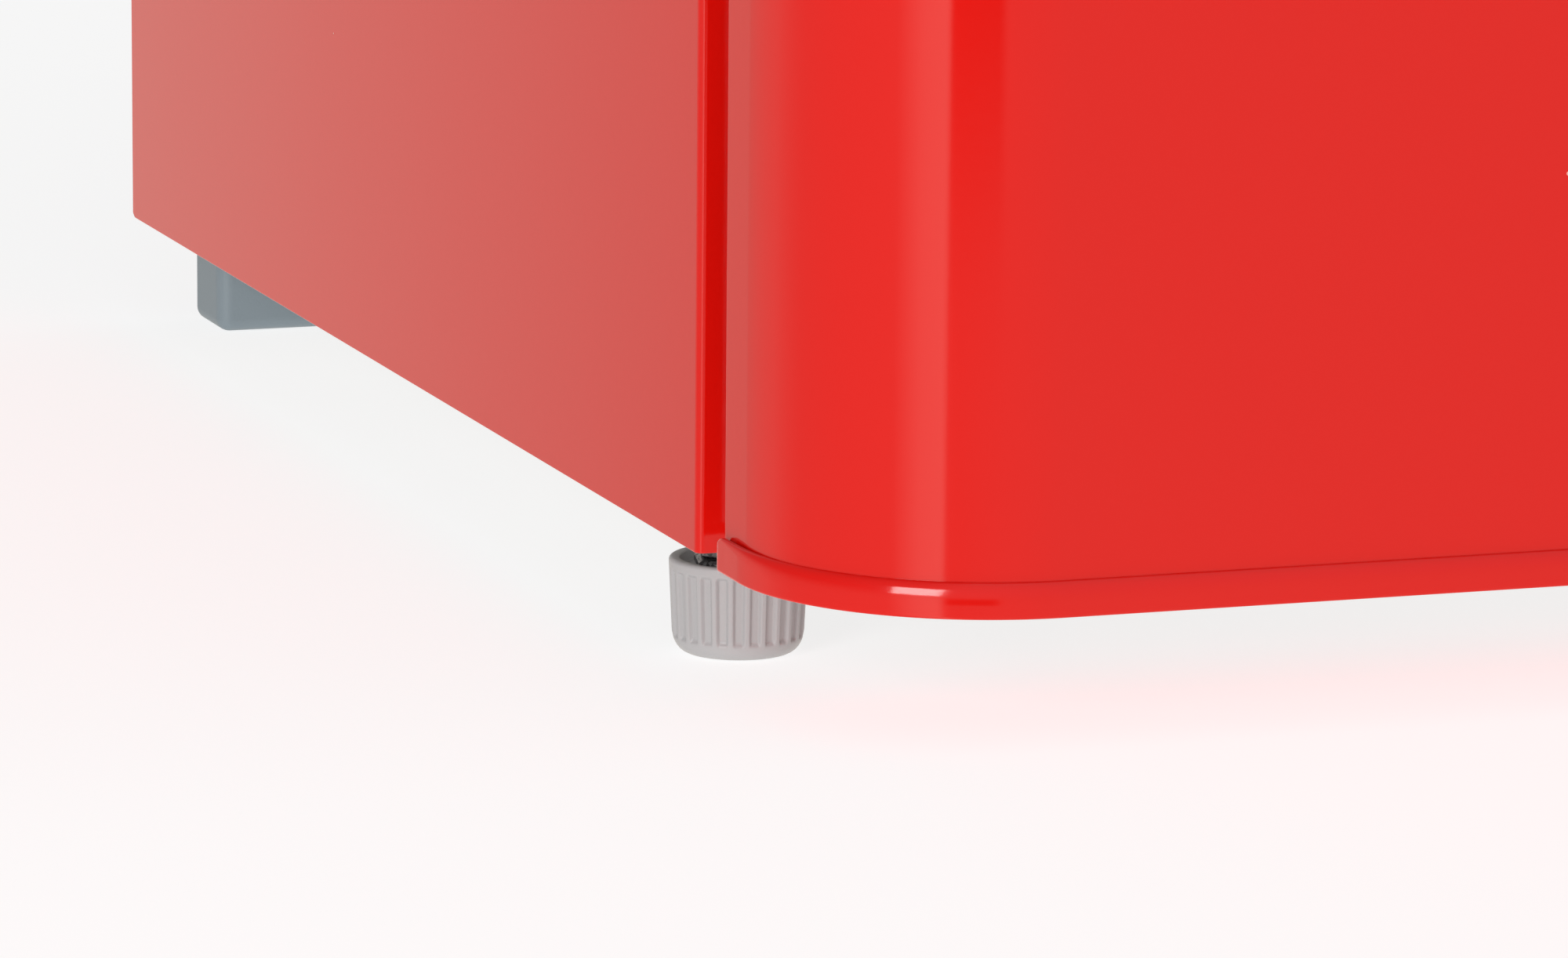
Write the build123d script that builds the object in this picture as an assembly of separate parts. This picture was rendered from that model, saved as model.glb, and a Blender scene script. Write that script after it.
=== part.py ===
from build123d import *
import math
import os

# Free-standing refrigerator in the rounded fifties style, one door, ice box inside.
# Row frame: +Z up, the door faces -Y, origin on the floor under the middle of the bounding box.
# All sizes are in millimetres. Each named size is written once and the rest follows from it.

# ---------------------------------------------------------------- driving sizes
cabinet_width = 550.0         # over the two side panels
cabinet_depth = 498.5         # side panel, front edge to back edge
overall_height = 895.0        # floor to the top of the worktop
base_height = 29.0            # floor to the lower edge of the side panels
sheet = 0.8                   # painted and galvanised sheet steel
bend_radius = 2.0             # outer radius of the folded front edge of a side panel
flange_width = 18.0           # front flange folded from each side panel
rear_return = 12.0            # rear flange folded from each side panel
panel_rear_corner = 4.0       # rounded lower rear corner of each side panel
rail_depth = 14.0             # front cross rails, front to back
worktop_thickness = 27.0
worktop_wall = 3.5
worktop_edge_radius = 7.0
head_gap = 3.0                # underside of the worktop to the top of the door
touch_gap = 0.3               # between pieces that rest against each other across a joint
run_gap = 0.05                # radial clearance of a pin in its bush

door_gap = 18.5               # front flange of the cabinet to the back of the door
door_side_flat = 14.5         # flat part of the door's side, behind the rounded edge
door_corner_radius = 53.0     # rounded vertical edges of the door
lip_proud = 2.0               # end cap lip, outside the door skin
lip_wall = 1.2
lip_height = 7.6
lip_end_radius = 4.0
cap_floor = 3.0
cap_rim_height = 14.0
cap_rim_wall = 2.0
cap_play = 0.1                # end cap rim inside the door skin
skin_return = 12.0            # rear flange of the door skin
door_liner_wall = 2.5
dyke_width = 18.0             # hollow ribs of the door liner that carry the racks
dyke_depth = 52.0
dyke_inset = 40.0             # side of the cavity to the outer face of a dyke, plus clearance

side_insulation = 40.0        # outer face of a side panel to the cavity
floor_insulation = 50.0
ceiling_insulation = 48.0
back_insulation = 50.0
step_insulation = 41.0
rear_recess = 25.0            # back panel to the rear edge of the side panels
bay_depth = 165.0             # compressor bay
bay_height = 215.0
liner_wall = 2.2
cavity_radius = 12.0
rib_height = 6.0
rib_reach = 8.0
shelf_setback = 105.0         # cabinet front to the front of a shelf

rack_reach = 80.0             # back of the door to the front of a rack
rack_wall = 2.4
rack_corner = 14.0            # rounded front corners of a rack
dairy_drop = 325.0            # ceiling of the cavity to the floor of the top rack

gasket_width = 13.0
gasket_inset = 25.0           # side of the cabinet to the outer edge of the gasket
gasket_radius = 18.0
gasket_foot = 3.0             # part that sits in the door liner
gasket_magnet = 4.0           # part that holds the magnet strip
gasket_neck_inset = 2.5       # the bellows are narrower on both edges
hinge_inset = 17.0            # side of the door to the hinge axis
hinge_setback = 24.0          # back of the door to the hinge axis
hinge_pin_radius = 4.0
bush_radius = 7.0
bracket_thickness = 3.0
bracket_joggle = 1.5          # the arm under the door lies lower than the plate by this

foot_radius = 15.7
foot_height = 21.7
foot_inset = 20.0             # side of the cabinet to the foot's axis
foot_setback = 30.2           # front of the cabinet to the foot's axis
foot_base_radius = 11.2       # flat part of the sole
foot_side_taper = 0.7         # the side leans in by this above the rounded sole
foot_sole_round = 6.0         # height of the rounding between side and sole
foot_collar = 2.2             # smooth band above the flutes
foot_flute_start = 3.4        # sole to the lower end of the flutes
foot_wall = 2.2
foot_dish_depth = 2.5
flute_count = 25
flute_radius = 1.3
flute_depth = 0.6
foot_travel = 12.0
stud_radius = 5.0
stud_length = 26.0            # above the foot
stud_clearance = 1.5          # round the stud, in the pan and the foam
nut_flats = 17.0
nut_height = 4.0

rear_foot_width = 42.0
rear_foot_depth = 27.5
rear_foot_inset = 17.0
rear_foot_setback = 3.0       # rear edge of the side panel to the back of the foot
rear_foot_radius = 4.0
rear_foot_sole_round = 3.6

handle_length = 236.0
handle_projection = 46.0      # beyond the front of the door
handle_width = 24.0
handle_thickness = 13.0
handle_edge_gap = 19.0        # rounded edge of the door to the middle of the handle
handle_drop = 110.0           # top of the door to the top of the handle
handle_end_round = 3.0
post_radius = 9.0
post_inset = 26.0             # end of the handle to the middle of a post

# ---------------------------------------------------------------- derived places
half_width = cabinet_width / 2
door_depth = door_side_flat + door_corner_radius
total_depth = cabinet_depth + door_gap + door_depth + handle_projection
back_y = total_depth / 2
front_y = back_y - cabinet_depth
door_back_y = front_y - door_gap
door_front_y = door_back_y - door_depth
body_top = overall_height - worktop_thickness
door_bottom = base_height
door_top = body_top - head_gap
inner_half = half_width - sheet
inner_front = front_y + rail_depth + touch_gap   # front of the pan, the foam and the top plate
panel_y = back_y - rear_recess          # outer face of the back panel
pan_top = base_height + sheet

handle_inset = door_corner_radius + handle_edge_gap

cavity_half = half_width - side_insulation
cavity_floor = base_height + floor_insulation
cavity_top = body_top - ceiling_insulation
cavity_back = panel_y - sheet - back_insulation
bay_y = back_y - bay_depth
bay_top = base_height + bay_height
step_y = bay_y - step_insulation
step_top = bay_top + step_insulation

hinge_x = half_width - hinge_inset
hinge_y = door_back_y - hinge_setback
foot_x = half_width - foot_inset
foot_y = front_y + foot_setback
nut_top = base_height - bracket_thickness
stud_top = foot_height + stud_length


# ---------------------------------------------------------------- helpers
def block(x0, x1, y0, y1, z0, z1):
    """Box between two corners."""
    size = Box(abs(x1 - x0), abs(y1 - y0), abs(z1 - z0))
    return Pos((x0 + x1) / 2, (y0 + y1) / 2, (z0 + z1) / 2) * size


def rod_z(x, y, z0, z1, radius):
    return Pos(x, y, (z0 + z1) / 2) * Cylinder(radius, z1 - z0)


def rod_y(x, z, y0, y1, radius):
    return Pos(x, (y0 + y1) / 2, z) * Rot(90, 0, 0) * Cylinder(radius, y1 - y0)


def rod_x(y, z, x0, x1, radius):
    return Pos((x0 + x1) / 2, y, z) * Rot(0, 90, 0) * Cylinder(radius, x1 - x0)


def left_of(shape):
    """The same piece on the other side of the cabinet."""
    return mirror(shape, Plane.YZ)


def prism_x(points, half):
    """A side profile of (y, z) points, pulled out to both sides of the middle."""
    face = make_face(Polyline(*[(0, y, z) for y, z in points], close=True))
    return extrude(face, half, dir=(1, 0, 0), both=True)


def tube_along(points, radius, bend):
    """A bent pipe: straight runs joined by arcs of one radius."""
    path = FilletPolyline(*points, radius=bend)
    start = Plane(origin=path @ 0, z_dir=path % 0)
    return sweep(start * Circle(radius), path=path)


def hex_head(flats, height):
    face = RegularPolygon(flats / 2, 6, major_radius=False)
    return extrude(face, height)


def save(name, *shapes):
    """Writes one node; a node may be a group of separate solids."""
    solids = [s for shape in shapes for s in shape.solids()]
    made = solids[0] if len(solids) == 1 else Compound(children=solids)
    export_step(made, f"parts/{name}.step")


# ---------------------------------------------------------------- cabinet
def side_panel():
    """Right side panel: one sheet with a folded front flange and a rear flange."""
    outer = Polyline(
        (half_width - flange_width, front_y),
        (half_width, front_y),
        (half_width, back_y),
        (half_width - rear_return, back_y),
        (half_width - rear_return, back_y - sheet),
        (half_width - sheet, back_y - sheet),
        (half_width - sheet, front_y + sheet),
        (half_width - flange_width, front_y + sheet),
        close=True,
    )
    profile = make_face(outer)
    outside = profile.vertices().sort_by_distance((half_width, front_y))[0]
    profile = fillet(outside, bend_radius)
    inside = profile.vertices().sort_by_distance((half_width - sheet, front_y + sheet))[0]
    profile = fillet(inside, bend_radius - sheet)
    panel = extrude(Pos(0, 0, base_height) * profile, body_top - base_height)
    corner = block(half_width - 2 * sheet, half_width + 1, back_y - panel_rear_corner, back_y + 1,
                   base_height - 1, base_height + panel_rear_corner)
    keep = rod_x(back_y - panel_rear_corner, base_height + panel_rear_corner,
                 half_width - 2 * sheet, half_width + 1, panel_rear_corner)
    flange_end = block(half_width - rear_return, half_width - sheet, back_y - 2 * sheet, back_y + 1,
                       base_height - 1, base_height + panel_rear_corner)
    return panel - (corner - keep) - flange_end


def front_rail(z0, z1):
    """Cross rail between the two front flanges: a shallow channel, open to the back."""
    reach = half_width - flange_width
    outer = block(-reach, reach, front_y, front_y + rail_depth, z0, z1)
    inner = block(-reach, reach, front_y + sheet, front_y + rail_depth + 1, z0 + sheet, z1 - sheet)
    return outer - inner


def base_pan():
    """Galvanised floor of the cabinet, folded up and back over the compressor bay."""
    points = [
        (inner_front, base_height), (bay_y, base_height), (bay_y, bay_top - sheet),
        (panel_y - sheet, bay_top - sheet), (panel_y - sheet, bay_top),
        (bay_y - sheet, bay_top), (bay_y - sheet, pan_top), (inner_front, pan_top),
    ]
    pan = prism_x(points, inner_half)
    for x in (-foot_x, foot_x):
        pan -= rod_z(x, foot_y, base_height - 1, pan_top + 1, stud_radius + stud_clearance)
    return pan - rod_z(drain_x, drain_y, bay_top - 2, bay_top + 1, drain_radius)


drain_radius = 8.0
drain_x = -60.0
drain_y = cavity_back - 22.0


def back_panel():
    """Flat sheet that closes the back above the compressor bay."""
    return block(-inner_half, inner_half, panel_y - sheet, panel_y, bay_top - sheet, body_top - sheet)


def top_plate():
    """Galvanised sheet over the foam, under the worktop."""
    return block(-inner_half, inner_half, inner_front, panel_y, body_top - sheet, body_top)


def cavity_block(grow):
    """The stepped space inside the liner, grown all round by grow."""
    points = [
        (front_y - 1, cavity_floor - grow), (step_y + grow, cavity_floor - grow),
        (step_y + grow, step_top - grow), (cavity_back + grow, step_top - grow),
        (cavity_back + grow, cavity_top + grow), (front_y - 1, cavity_top + grow),
    ]
    shape = prism_x(points, cavity_half + grow)
    return fillet(shape.edges().filter_by(Axis.Y), cavity_radius + grow)


def inner_liner():
    """Vacuum-formed plastic liner with its front flange and the shelf ribs."""
    flange_half = half_width - flange_width
    rail = flange_width
    flange = block(-flange_half, flange_half, front_y, front_y + liner_wall,
                   base_height + rail, body_top - rail)
    shell = cavity_block(liner_wall) - block(-half_width, half_width, front_y - 2, front_y, 0, overall_height)
    shape = flange + shell - cavity_block(0)
    for z in shelf_heights:
        rib_end = step_y if z == step_top else cavity_back
        rib = block(cavity_half - rib_reach, cavity_half + liner_wall / 2,
                    front_y + shelf_setback, rib_end, z - rib_height, z)
        shape += rib + left_of(rib)
    drain = rod_z(drain_x, drain_y, step_top - liner_wall - 1, step_top + 1, drain_radius)
    switch_slot = block(switch_x - 9, switch_x + 9, front_y + 12, front_y + 26, cavity_top - 1,
                        cavity_top + liner_wall + 1)
    return shape - drain - switch_slot


def cabinet_foam():
    """Foamed-in-place insulation between the liner and the outer sheets."""
    points = [
        (inner_front, pan_top), (bay_y - sheet, pan_top), (bay_y - sheet, bay_top),
        (panel_y - sheet, bay_top), (panel_y - sheet, body_top - sheet), (inner_front, body_top - sheet),
    ]
    flange_half = half_width - flange_width
    foam = prism_x(points, inner_half)
    foam += block(-flange_half, flange_half, front_y + liner_wall, inner_front,
                  base_height + flange_width, body_top - flange_width)
    foam -= cavity_block(liner_wall)
    for x in (-foot_x, foot_x):
        foam -= rod_z(x, foot_y, pan_top - 1, stud_top + 4, stud_radius + stud_clearance)
    foam -= rod_z(drain_x, drain_y, bay_top - 1, step_top, drain_radius)
    switch_well = block(switch_x - 9, switch_x + 9, front_y + 12, front_y + 26, cavity_top, cavity_top + 16)
    return foam - switch_well


def worktop():
    """Moulded lid with rounded front corners, hollow underneath."""
    rear = back_y
    plan = door_plan(lip_proud, rear)
    slab = extrude(Pos(0, 0, body_top) * plan, worktop_thickness)
    top_edges = slab.edges().group_by(Axis.Z)[-1]
    slab = fillet(top_edges, worktop_edge_radius)
    hollow = extrude(Pos(0, 0, body_top - 1) * door_plan(lip_proud - worktop_wall, rear - worktop_wall),
                     worktop_thickness - worktop_wall + 1)
    ledge = block(-half_width + 20, half_width - 20, front_y + 60, front_y + 60 + worktop_wall,
                  body_top, body_top + worktop_thickness - worktop_wall)
    return slab - hollow + ledge


# ---------------------------------------------------------------- door
def door_plan(grow, rear):
    """Plan of the door: straight sides from rear, rounded front corners, flat front."""
    reach = half_width + grow
    face = make_face(Polyline(
        (-reach, rear), (-reach, door_front_y - grow), (reach, door_front_y - grow), (reach, rear),
        close=True,
    ))
    front = face.vertices().group_by(Axis.Y)[0]
    return fillet(front, door_corner_radius + grow)


def layer(plan, z0, z1):
    return extrude(Pos(0, 0, z0) * plan, z1 - z0)


def door_skin():
    """Painted sheet bent round both vertical edges, with a flange along the back."""
    z0, z1 = door_bottom + cap_floor, door_top - cap_floor
    skin = layer(door_plan(0, door_back_y), z0, z1)
    skin -= layer(door_plan(-sheet, door_back_y - sheet), z0 - 1, z1 + 1)
    opening = half_width - skin_return
    return skin - block(-opening, opening, door_back_y - 2 * sheet, door_back_y + 1, z0 - 1, z1 + 1)


def end_cap():
    """Lower end cap in place: floor, outer lip and the inner rim that holds the skin."""
    z0 = door_bottom
    floor = layer(door_plan(lip_proud, door_back_y), z0, z0 + cap_floor)
    lip = layer(door_plan(lip_proud, door_back_y), z0, z0 + lip_height)
    lip -= layer(door_plan(lip_proud - lip_wall, door_back_y + 1), z0 - 1, z0 + lip_height + 1)
    top_rear = block(-half_width - 9, half_width + 9, door_back_y - lip_end_radius, door_back_y + 1,
                     z0 + lip_height - lip_end_radius, z0 + lip_height + 1)
    round_end = rod_x(door_back_y - lip_end_radius, z0 + lip_height - lip_end_radius,
                      -half_width - 9, half_width + 9, lip_end_radius)
    lip -= top_rear - round_end
    shoulder = lip.edges().group_by(Axis.Z)[-1]
    front_edge = [e for e in shoulder if e.center().Y < door_front_y - lip_proud + lip_wall / 2]
    lip = fillet(front_edge, lip_wall * 0.8) if front_edge else lip
    outer, inner = -sheet - cap_play, -sheet - cap_play - cap_rim_wall
    back = door_back_y - door_liner_wall
    rim = layer(door_plan(outer, back), z0, z0 + cap_rim_height)
    rim -= layer(door_plan(inner, back - cap_rim_wall), z0 - 1, z0 + cap_rim_height + 1)
    boss = rod_z(hinge_x, hinge_y, z0, z0 + cap_rim_height, bush_radius + 2)
    cap = floor + lip + rim + boss
    return cap - rod_z(hinge_x, hinge_y, z0 - 1, z0 + cap_rim_height + 1, bush_radius)


def flipped(shape):
    """A lower door piece turned over to the top of the door."""
    return mirror(shape, Plane.XY.offset((door_bottom + door_top) / 2))


def hinge_bush():
    """Nylon bush in the boss of the lower cap."""
    z0 = door_bottom
    ring = rod_z(hinge_x, hinge_y, z0, z0 + cap_rim_height, bush_radius)
    return ring - rod_z(hinge_x, hinge_y, z0 - 1, z0 + cap_rim_height + 1, hinge_pin_radius + run_gap)


def dyke(grow):
    """Right rack carrier of the door liner; grow shrinks it to the foam core inside."""
    x1 = cavity_half - dyke_inset / 2 + grow
    x0 = x1 - dyke_width - 2 * grow
    z0, z1 = rack_floors[0] - 12 - grow, rack_floors[-1] + 96 + grow
    shape = block(x0, x1, door_back_y, door_back_y + dyke_depth + grow, z0, z1)
    return fillet(shape.edges().filter_by(Axis.Z).group_by(Axis.Y)[-1], 5 + grow)


def door_liner():
    """Plastic back of the door with the two dykes and the rack rests."""
    reach = half_width - skin_return
    plate = block(-reach, reach, door_back_y - door_liner_wall, door_back_y,
                  door_bottom + cap_floor, door_top - cap_floor)
    one = dyke(0)
    core = dyke(-2.0) + Pos(0, -5, 0) * dyke(-2.0)
    shape = plate + one + left_of(one)
    shape -= core
    shape -= left_of(core)
    rest = []
    x1 = cavity_half - dyke_inset / 2 - dyke_width
    for z in rack_floors:
        rest.append(block(x1 - 5, x1 + 1, door_back_y, door_back_y + dyke_depth - 8, z - 5, z))
    for r in rest:
        shape += r + left_of(r)
    return shape


def door_foam():
    """Insulation between the skin, the caps and the door liner."""
    grow = -sheet - cap_rim_wall - 2 * cap_play
    back = door_back_y - door_liner_wall
    z0, z1 = door_bottom + cap_floor, door_top - cap_floor
    foam = layer(door_plan(grow, back - cap_rim_wall - touch_gap), z0, z1)
    foam += layer(door_plan(-sheet, back), z0 + cap_rim_height, z1 - cap_rim_height)
    for z_low, z_high in ((z0 - 1, door_bottom + cap_rim_height), (door_top - cap_rim_height, z1 + 1)):
        foam -= rod_z(hinge_x, hinge_y, z_low, z_high, bush_radius + 2)
    for z_low, z_high in ((door_bottom, door_bottom + 40), (door_top - 40, door_top)):
        foam -= rod_z(hinge_x, hinge_y, z_low, z_high, hinge_pin_radius + 1)
    for x, y, z in handle_seats():
        foam -= rod_y(x, z, door_front_y, door_front_y + 14, 3.0)
    return foam


def gasket_ring(grow, y0, y1):
    x = half_width - gasket_inset + grow
    z0, z1 = base_height + gasket_inset - grow, body_top - gasket_inset + grow
    ring = block(-x, x, y0, y1, z0, z1)
    return fillet(ring.edges().filter_by(Axis.Y), gasket_radius + grow)


def gasket():
    """Magnetic door seal: foot against the door, narrower bellows, wide magnet strip."""
    foot_end, magnet_start = door_back_y + gasket_foot, front_y - gasket_magnet
    foot = gasket_ring(0, door_back_y, foot_end)
    foot -= gasket_ring(-gasket_width, door_back_y - 1, foot_end + 1)
    neck = gasket_ring(-gasket_neck_inset, foot_end, magnet_start)
    neck -= gasket_ring(gasket_neck_inset - gasket_width, foot_end - 1, magnet_start + 1)
    magnet = gasket_ring(0, magnet_start, front_y - touch_gap)
    magnet -= gasket_ring(-gasket_width, magnet_start - 1, front_y)
    return foot + neck + magnet


def handle_seats():
    """Points on the door's front where the two handle posts stand."""
    x = -half_width + handle_inset
    top = door_top - handle_drop
    return [(x, door_front_y, top - post_inset), (x, door_front_y, top - handle_length + post_inset)]


def handle_bar():
    """Chromed bar, bowed outwards, with rounded ends."""
    x = -half_width + handle_inset
    top = door_top - handle_drop
    low = top - handle_length
    bow = 12.0
    outer = door_front_y - handle_projection
    start, end = (x, outer + handle_thickness / 2 + bow, low), (x, outer + handle_thickness / 2 + bow, top)
    path = ThreePointArc(start, (x, outer + handle_thickness / 2, (low + top) / 2), end)
    section = Plane(origin=path @ 0, x_dir=(1, 0, 0), z_dir=path % 0)
    bar = sweep(section * Ellipse(handle_width / 2, handle_thickness / 2), path=path)
    return fillet(bar.edges(), handle_end_round)


def handle_posts():
    """Two chromed posts from the door to the bar, with a foot ring on the skin."""
    bar = handle_bar()
    posts = []
    for x, y, z in handle_seats():
        post = rod_y(x, z, y - handle_projection + handle_thickness, y, post_radius)
        ring = rod_y(x, z, y - 3, y, post_radius + 3)
        posts.append(post + fillet(ring.edges().group_by(Axis.Y)[0], 1.2) - bar)
    return [max(p.solids(), key=lambda s: s.volume) for p in posts]


def handle_screws():
    """Screws from inside the door skin into the posts."""
    return [rod_y(x, z, y + sheet, y + 12, 2.6) for x, y, z in handle_seats()]


rack_heights = (105.0, 60.0, 62.0)
bottle_floor = cavity_floor + 16
dairy_floor = cavity_top - dairy_drop
middle_floor = (bottle_floor + rack_heights[0] + dairy_floor - rack_heights[1]) / 2
rack_floors = (bottle_floor, middle_floor, dairy_floor)


def rack(floor_z, height):
    """Open tray that hangs between the dykes on their rests."""
    x = cavity_half - dyke_inset / 2 - dyke_width - touch_gap
    y0, y1 = door_back_y + touch_gap, door_back_y + rack_reach
    tray = block(-x, x, y0, y1, floor_z, floor_z + height)
    tray = fillet(tray.edges().filter_by(Axis.Z).group_by(Axis.Y)[-1], rack_corner)
    hollow = block(-x + rack_wall, x - rack_wall, y0 + rack_wall, y1 - rack_wall, floor_z + rack_wall,
                   floor_z + height + 1)
    hollow = fillet(hollow.edges().filter_by(Axis.Z).group_by(Axis.Y)[-1], rack_corner - rack_wall)
    bead = block(-x + 18, x - 18, y1 - rack_wall - 1, y1 + 1.6, floor_z + height - 5, floor_z + height)
    return tray + bead - hollow


def bottle_stop():
    """Slider that clips over the wall of the lowest rack and keeps bottles upright."""
    z = rack_floors[0] + rack_heights[0]
    y1 = door_back_y + rack_reach
    inner, outer = y1 - rack_wall - touch_gap, y1 + 1.6 + touch_gap
    saddle = block(-14, 14, inner - 2, outer + 2, z - 22, z + 2.3)
    slot = block(-15, 15, inner, outer, z - 23, z + touch_gap)
    finger = block(-1.5, 1.5, y1 - 62, inner - 1, z - 22, z - 4)
    return saddle - slot + finger


dairy_pin_radius = 2.0
dairy_y = door_back_y + 12.0
dairy_z = rack_floors[2] + rack_heights[2] + 14.0


def dairy_cheeks():
    """Two ears on the top rack that carry the lid's pins."""
    x1 = cavity_half - dyke_inset / 2 - dyke_width - touch_gap
    ear = block(x1 - rack_wall, x1, door_back_y + 2, dairy_y + 10, rack_floors[2] + rack_heights[2] - 1,
                dairy_z + 8)
    ear -= rod_x(dairy_y, dairy_z, x1 - 9, x1 + 1, dairy_pin_radius + run_gap)
    return ear + left_of(ear)


def dairy_lid():
    """Clear lid of the dairy compartment, hinged at the back, curved down at the front."""
    x1 = cavity_half - dyke_inset / 2 - dyke_width - touch_gap - rack_wall - touch_gap
    y1 = door_back_y + rack_reach - 3
    top = block(-x1, x1, dairy_y, y1, dairy_z - 1.2, dairy_z + 1.2)
    nose = block(-x1, x1, y1 - 2.4, y1, dairy_z - 12, dairy_z + 1.2)
    pins = rod_x(dairy_y, dairy_z, -x1 - rack_wall, x1 + rack_wall, dairy_pin_radius)
    barrel = rod_x(dairy_y, dairy_z, -x1, x1, dairy_pin_radius + 1)
    return top + nose + pins + barrel


# ---------------------------------------------------------------- hinges and feet
def foot_plate():
    """Right bracket under the cabinet that takes the levelling foot."""
    x0, x1 = half_width - 62, half_width - 12
    plate = block(x0, x1, front_y + 6, front_y + 72, nut_top, base_height)
    plate -= rod_z(foot_x, foot_y, nut_top - 1, base_height + 1, stud_radius + run_gap)
    for x, y in plate_screws():
        plate -= rod_z(x, y, nut_top - 1, base_height + 1, screw_radius)
    return plate


screw_radius = 2.5


def plate_screws():
    return [(half_width - 50, front_y + 20), (half_width - 50, front_y + 58)]


def lower_hinge_bracket():
    """The right foot plate with the joggled arm that runs forward to the door's lower pin."""
    low = base_height - bracket_thickness - bracket_joggle
    arm = block(hinge_x - 13, hinge_x + 13, hinge_y, front_y + 10, low, low + bracket_thickness)
    arm += rod_z(hinge_x, hinge_y, low, low + bracket_thickness, 13)
    arm += block(hinge_x - 13, hinge_x + 5, front_y + 2, front_y + 10, low, base_height)
    return foot_plate() + arm - rod_z(hinge_x, hinge_y, low - 1, base_height + 1, hinge_pin_radius)


def lower_hinge_pin():
    """Pin riveted in the bracket, with the nylon washer seat turned on it."""
    low = base_height - bracket_thickness - bracket_joggle
    pin = rod_z(hinge_x, hinge_y, low, door_bottom + cap_rim_height - 2, hinge_pin_radius)
    collar = rod_z(hinge_x, hinge_y, low + bracket_thickness, door_bottom - touch_gap, bush_radius - 1)
    return pin + collar


def upper_hinge_bracket():
    """Plate on top of the cabinet that reaches forward over the door."""
    z0, z1 = body_top, body_top + bracket_thickness
    plate = block(hinge_x - 60, hinge_x + 10, hinge_y, front_y + 52, z0, z1)
    plate = fillet(plate.edges().filter_by(Axis.Z), 9)
    plate -= rod_z(hinge_x, hinge_y, z0 - 1, z1 + 1, hinge_pin_radius)
    for x, y in upper_screws():
        plate -= rod_z(x, y, z0 - 1, z1 + 1, screw_radius)
    return plate


def upper_screws():
    return [(hinge_x - 46, front_y + 26), (hinge_x - 4, front_y + 26), (hinge_x - 25, front_y + 40)]


def upper_hinge_pin():
    z0, z1 = door_top - cap_rim_height + 2, body_top + bracket_thickness
    pin = rod_z(hinge_x, hinge_y, z0, z1, hinge_pin_radius)
    return pin + rod_z(hinge_x, hinge_y, z1, z1 + 2, hinge_pin_radius + 2.5)


def hinge_screws():
    """Hexagon washer-head screws of the upper hinge."""
    made = []
    z = body_top + bracket_thickness
    for x, y in upper_screws():
        head = rod_z(x, y, z, z + 1.2, 6.5) + Pos(x, y, z + 1.2) * hex_head(8, 4)
        made.append(head + rod_z(x, y, body_top, z, screw_radius))
    return made


def foot_plate_screws():
    """Screws of both plates under the cabinet."""
    made = []
    for x, y in plate_screws():
        for sx in (x, -x):
            head = rod_z(sx, y, nut_top - 1.2, nut_top, 6) + Pos(sx, y, nut_top - 4.7) * hex_head(8, 3.5)
            made.append(head + rod_z(sx, y, nut_top, base_height, screw_radius))
    return made


def foot_cap():
    """Fluted plastic levelling foot, dished on top."""
    side = foot_radius - foot_side_taper
    slant = math.sqrt(0.5)
    belly = (foot_base_radius + (side - foot_base_radius) * slant, foot_sole_round * (1 - slant))
    profile = make_face(
        Line((0, 0), (foot_base_radius, 0))
        + ThreePointArc((foot_base_radius, 0), belly, (side, foot_sole_round))
        + Line((side, foot_sole_round), (foot_radius, foot_height - 1.0))
        + ThreePointArc((foot_radius, foot_height - 1.0), (foot_radius - 0.3, foot_height - 0.3),
                        (foot_radius - 1.0, foot_height))
        + Line((foot_radius - 1.0, foot_height), (foot_radius - foot_wall, foot_height - 0.6))
        + Line((foot_radius - foot_wall, foot_height - 0.6), (foot_radius - foot_wall - 0.8, dish_z))
        + Line((foot_radius - foot_wall - 0.8, dish_z), (0, dish_z))
        + Line((0, dish_z), (0, 0))
    )
    body = revolve(Plane.XZ * profile, Axis.Z)
    for n in range(flute_count):
        turn = 360.0 * n / flute_count
        flute = rod_z(foot_radius + flute_radius - flute_depth, 0, foot_flute_start,
                      foot_height - foot_collar, flute_radius)
        body -= Rot(0, 0, turn) * flute
    return Pos(foot_x, foot_y, 0) * body


dish_z = foot_height - foot_dish_depth


def foot_stud():
    """Threaded stud of a levelling foot, seated in the dish."""
    stud = rod_z(foot_x, foot_y, dish_z, stud_top, stud_radius)
    return chamfer(stud.edges().group_by(Axis.Z)[-1], 0.9)


def lock_nut():
    """Hexagon nut pressed up against the plate."""
    nut = Pos(foot_x, foot_y, nut_top - nut_height) * Rot(0, 0, 12) * hex_head(nut_flats, nut_height)
    return nut - rod_z(foot_x, foot_y, nut_top - nut_height - 1, nut_top + 1, stud_radius + run_gap)


def rear_foot():
    """Fixed moulded foot at the back corner, under the compressor tray."""
    x1 = half_width - rear_foot_inset
    y1 = back_y - rear_foot_setback
    foot = block(x1 - rear_foot_width, x1, y1 - rear_foot_depth, y1, 0, base_height)
    foot = fillet(foot.edges().filter_by(Axis.Z), rear_foot_radius)
    return fillet(foot.edges().group_by(Axis.Z)[0], rear_foot_sole_round)


# ---------------------------------------------------------------- inside the cabinet
ice_height = 128.0
ice_floor = cavity_top - ice_height
shelf_pitch = (ice_floor - step_top) / 3
shelf_heights = tuple(step_top + n * shelf_pitch for n in range(3))
glass = 4.0
trim_height = 12.0
trim_depth = 14.0
side_clearance = 1.5


def glass_shelf(z):
    """Toughened glass plate on the ribs; the lowest one only covers the drawer."""
    rear = step_y if z == step_top else cavity_back
    return block(-cavity_half + side_clearance, cavity_half - side_clearance,
                 front_y + shelf_setback + 2, rear - 3, z, z + glass)


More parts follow.
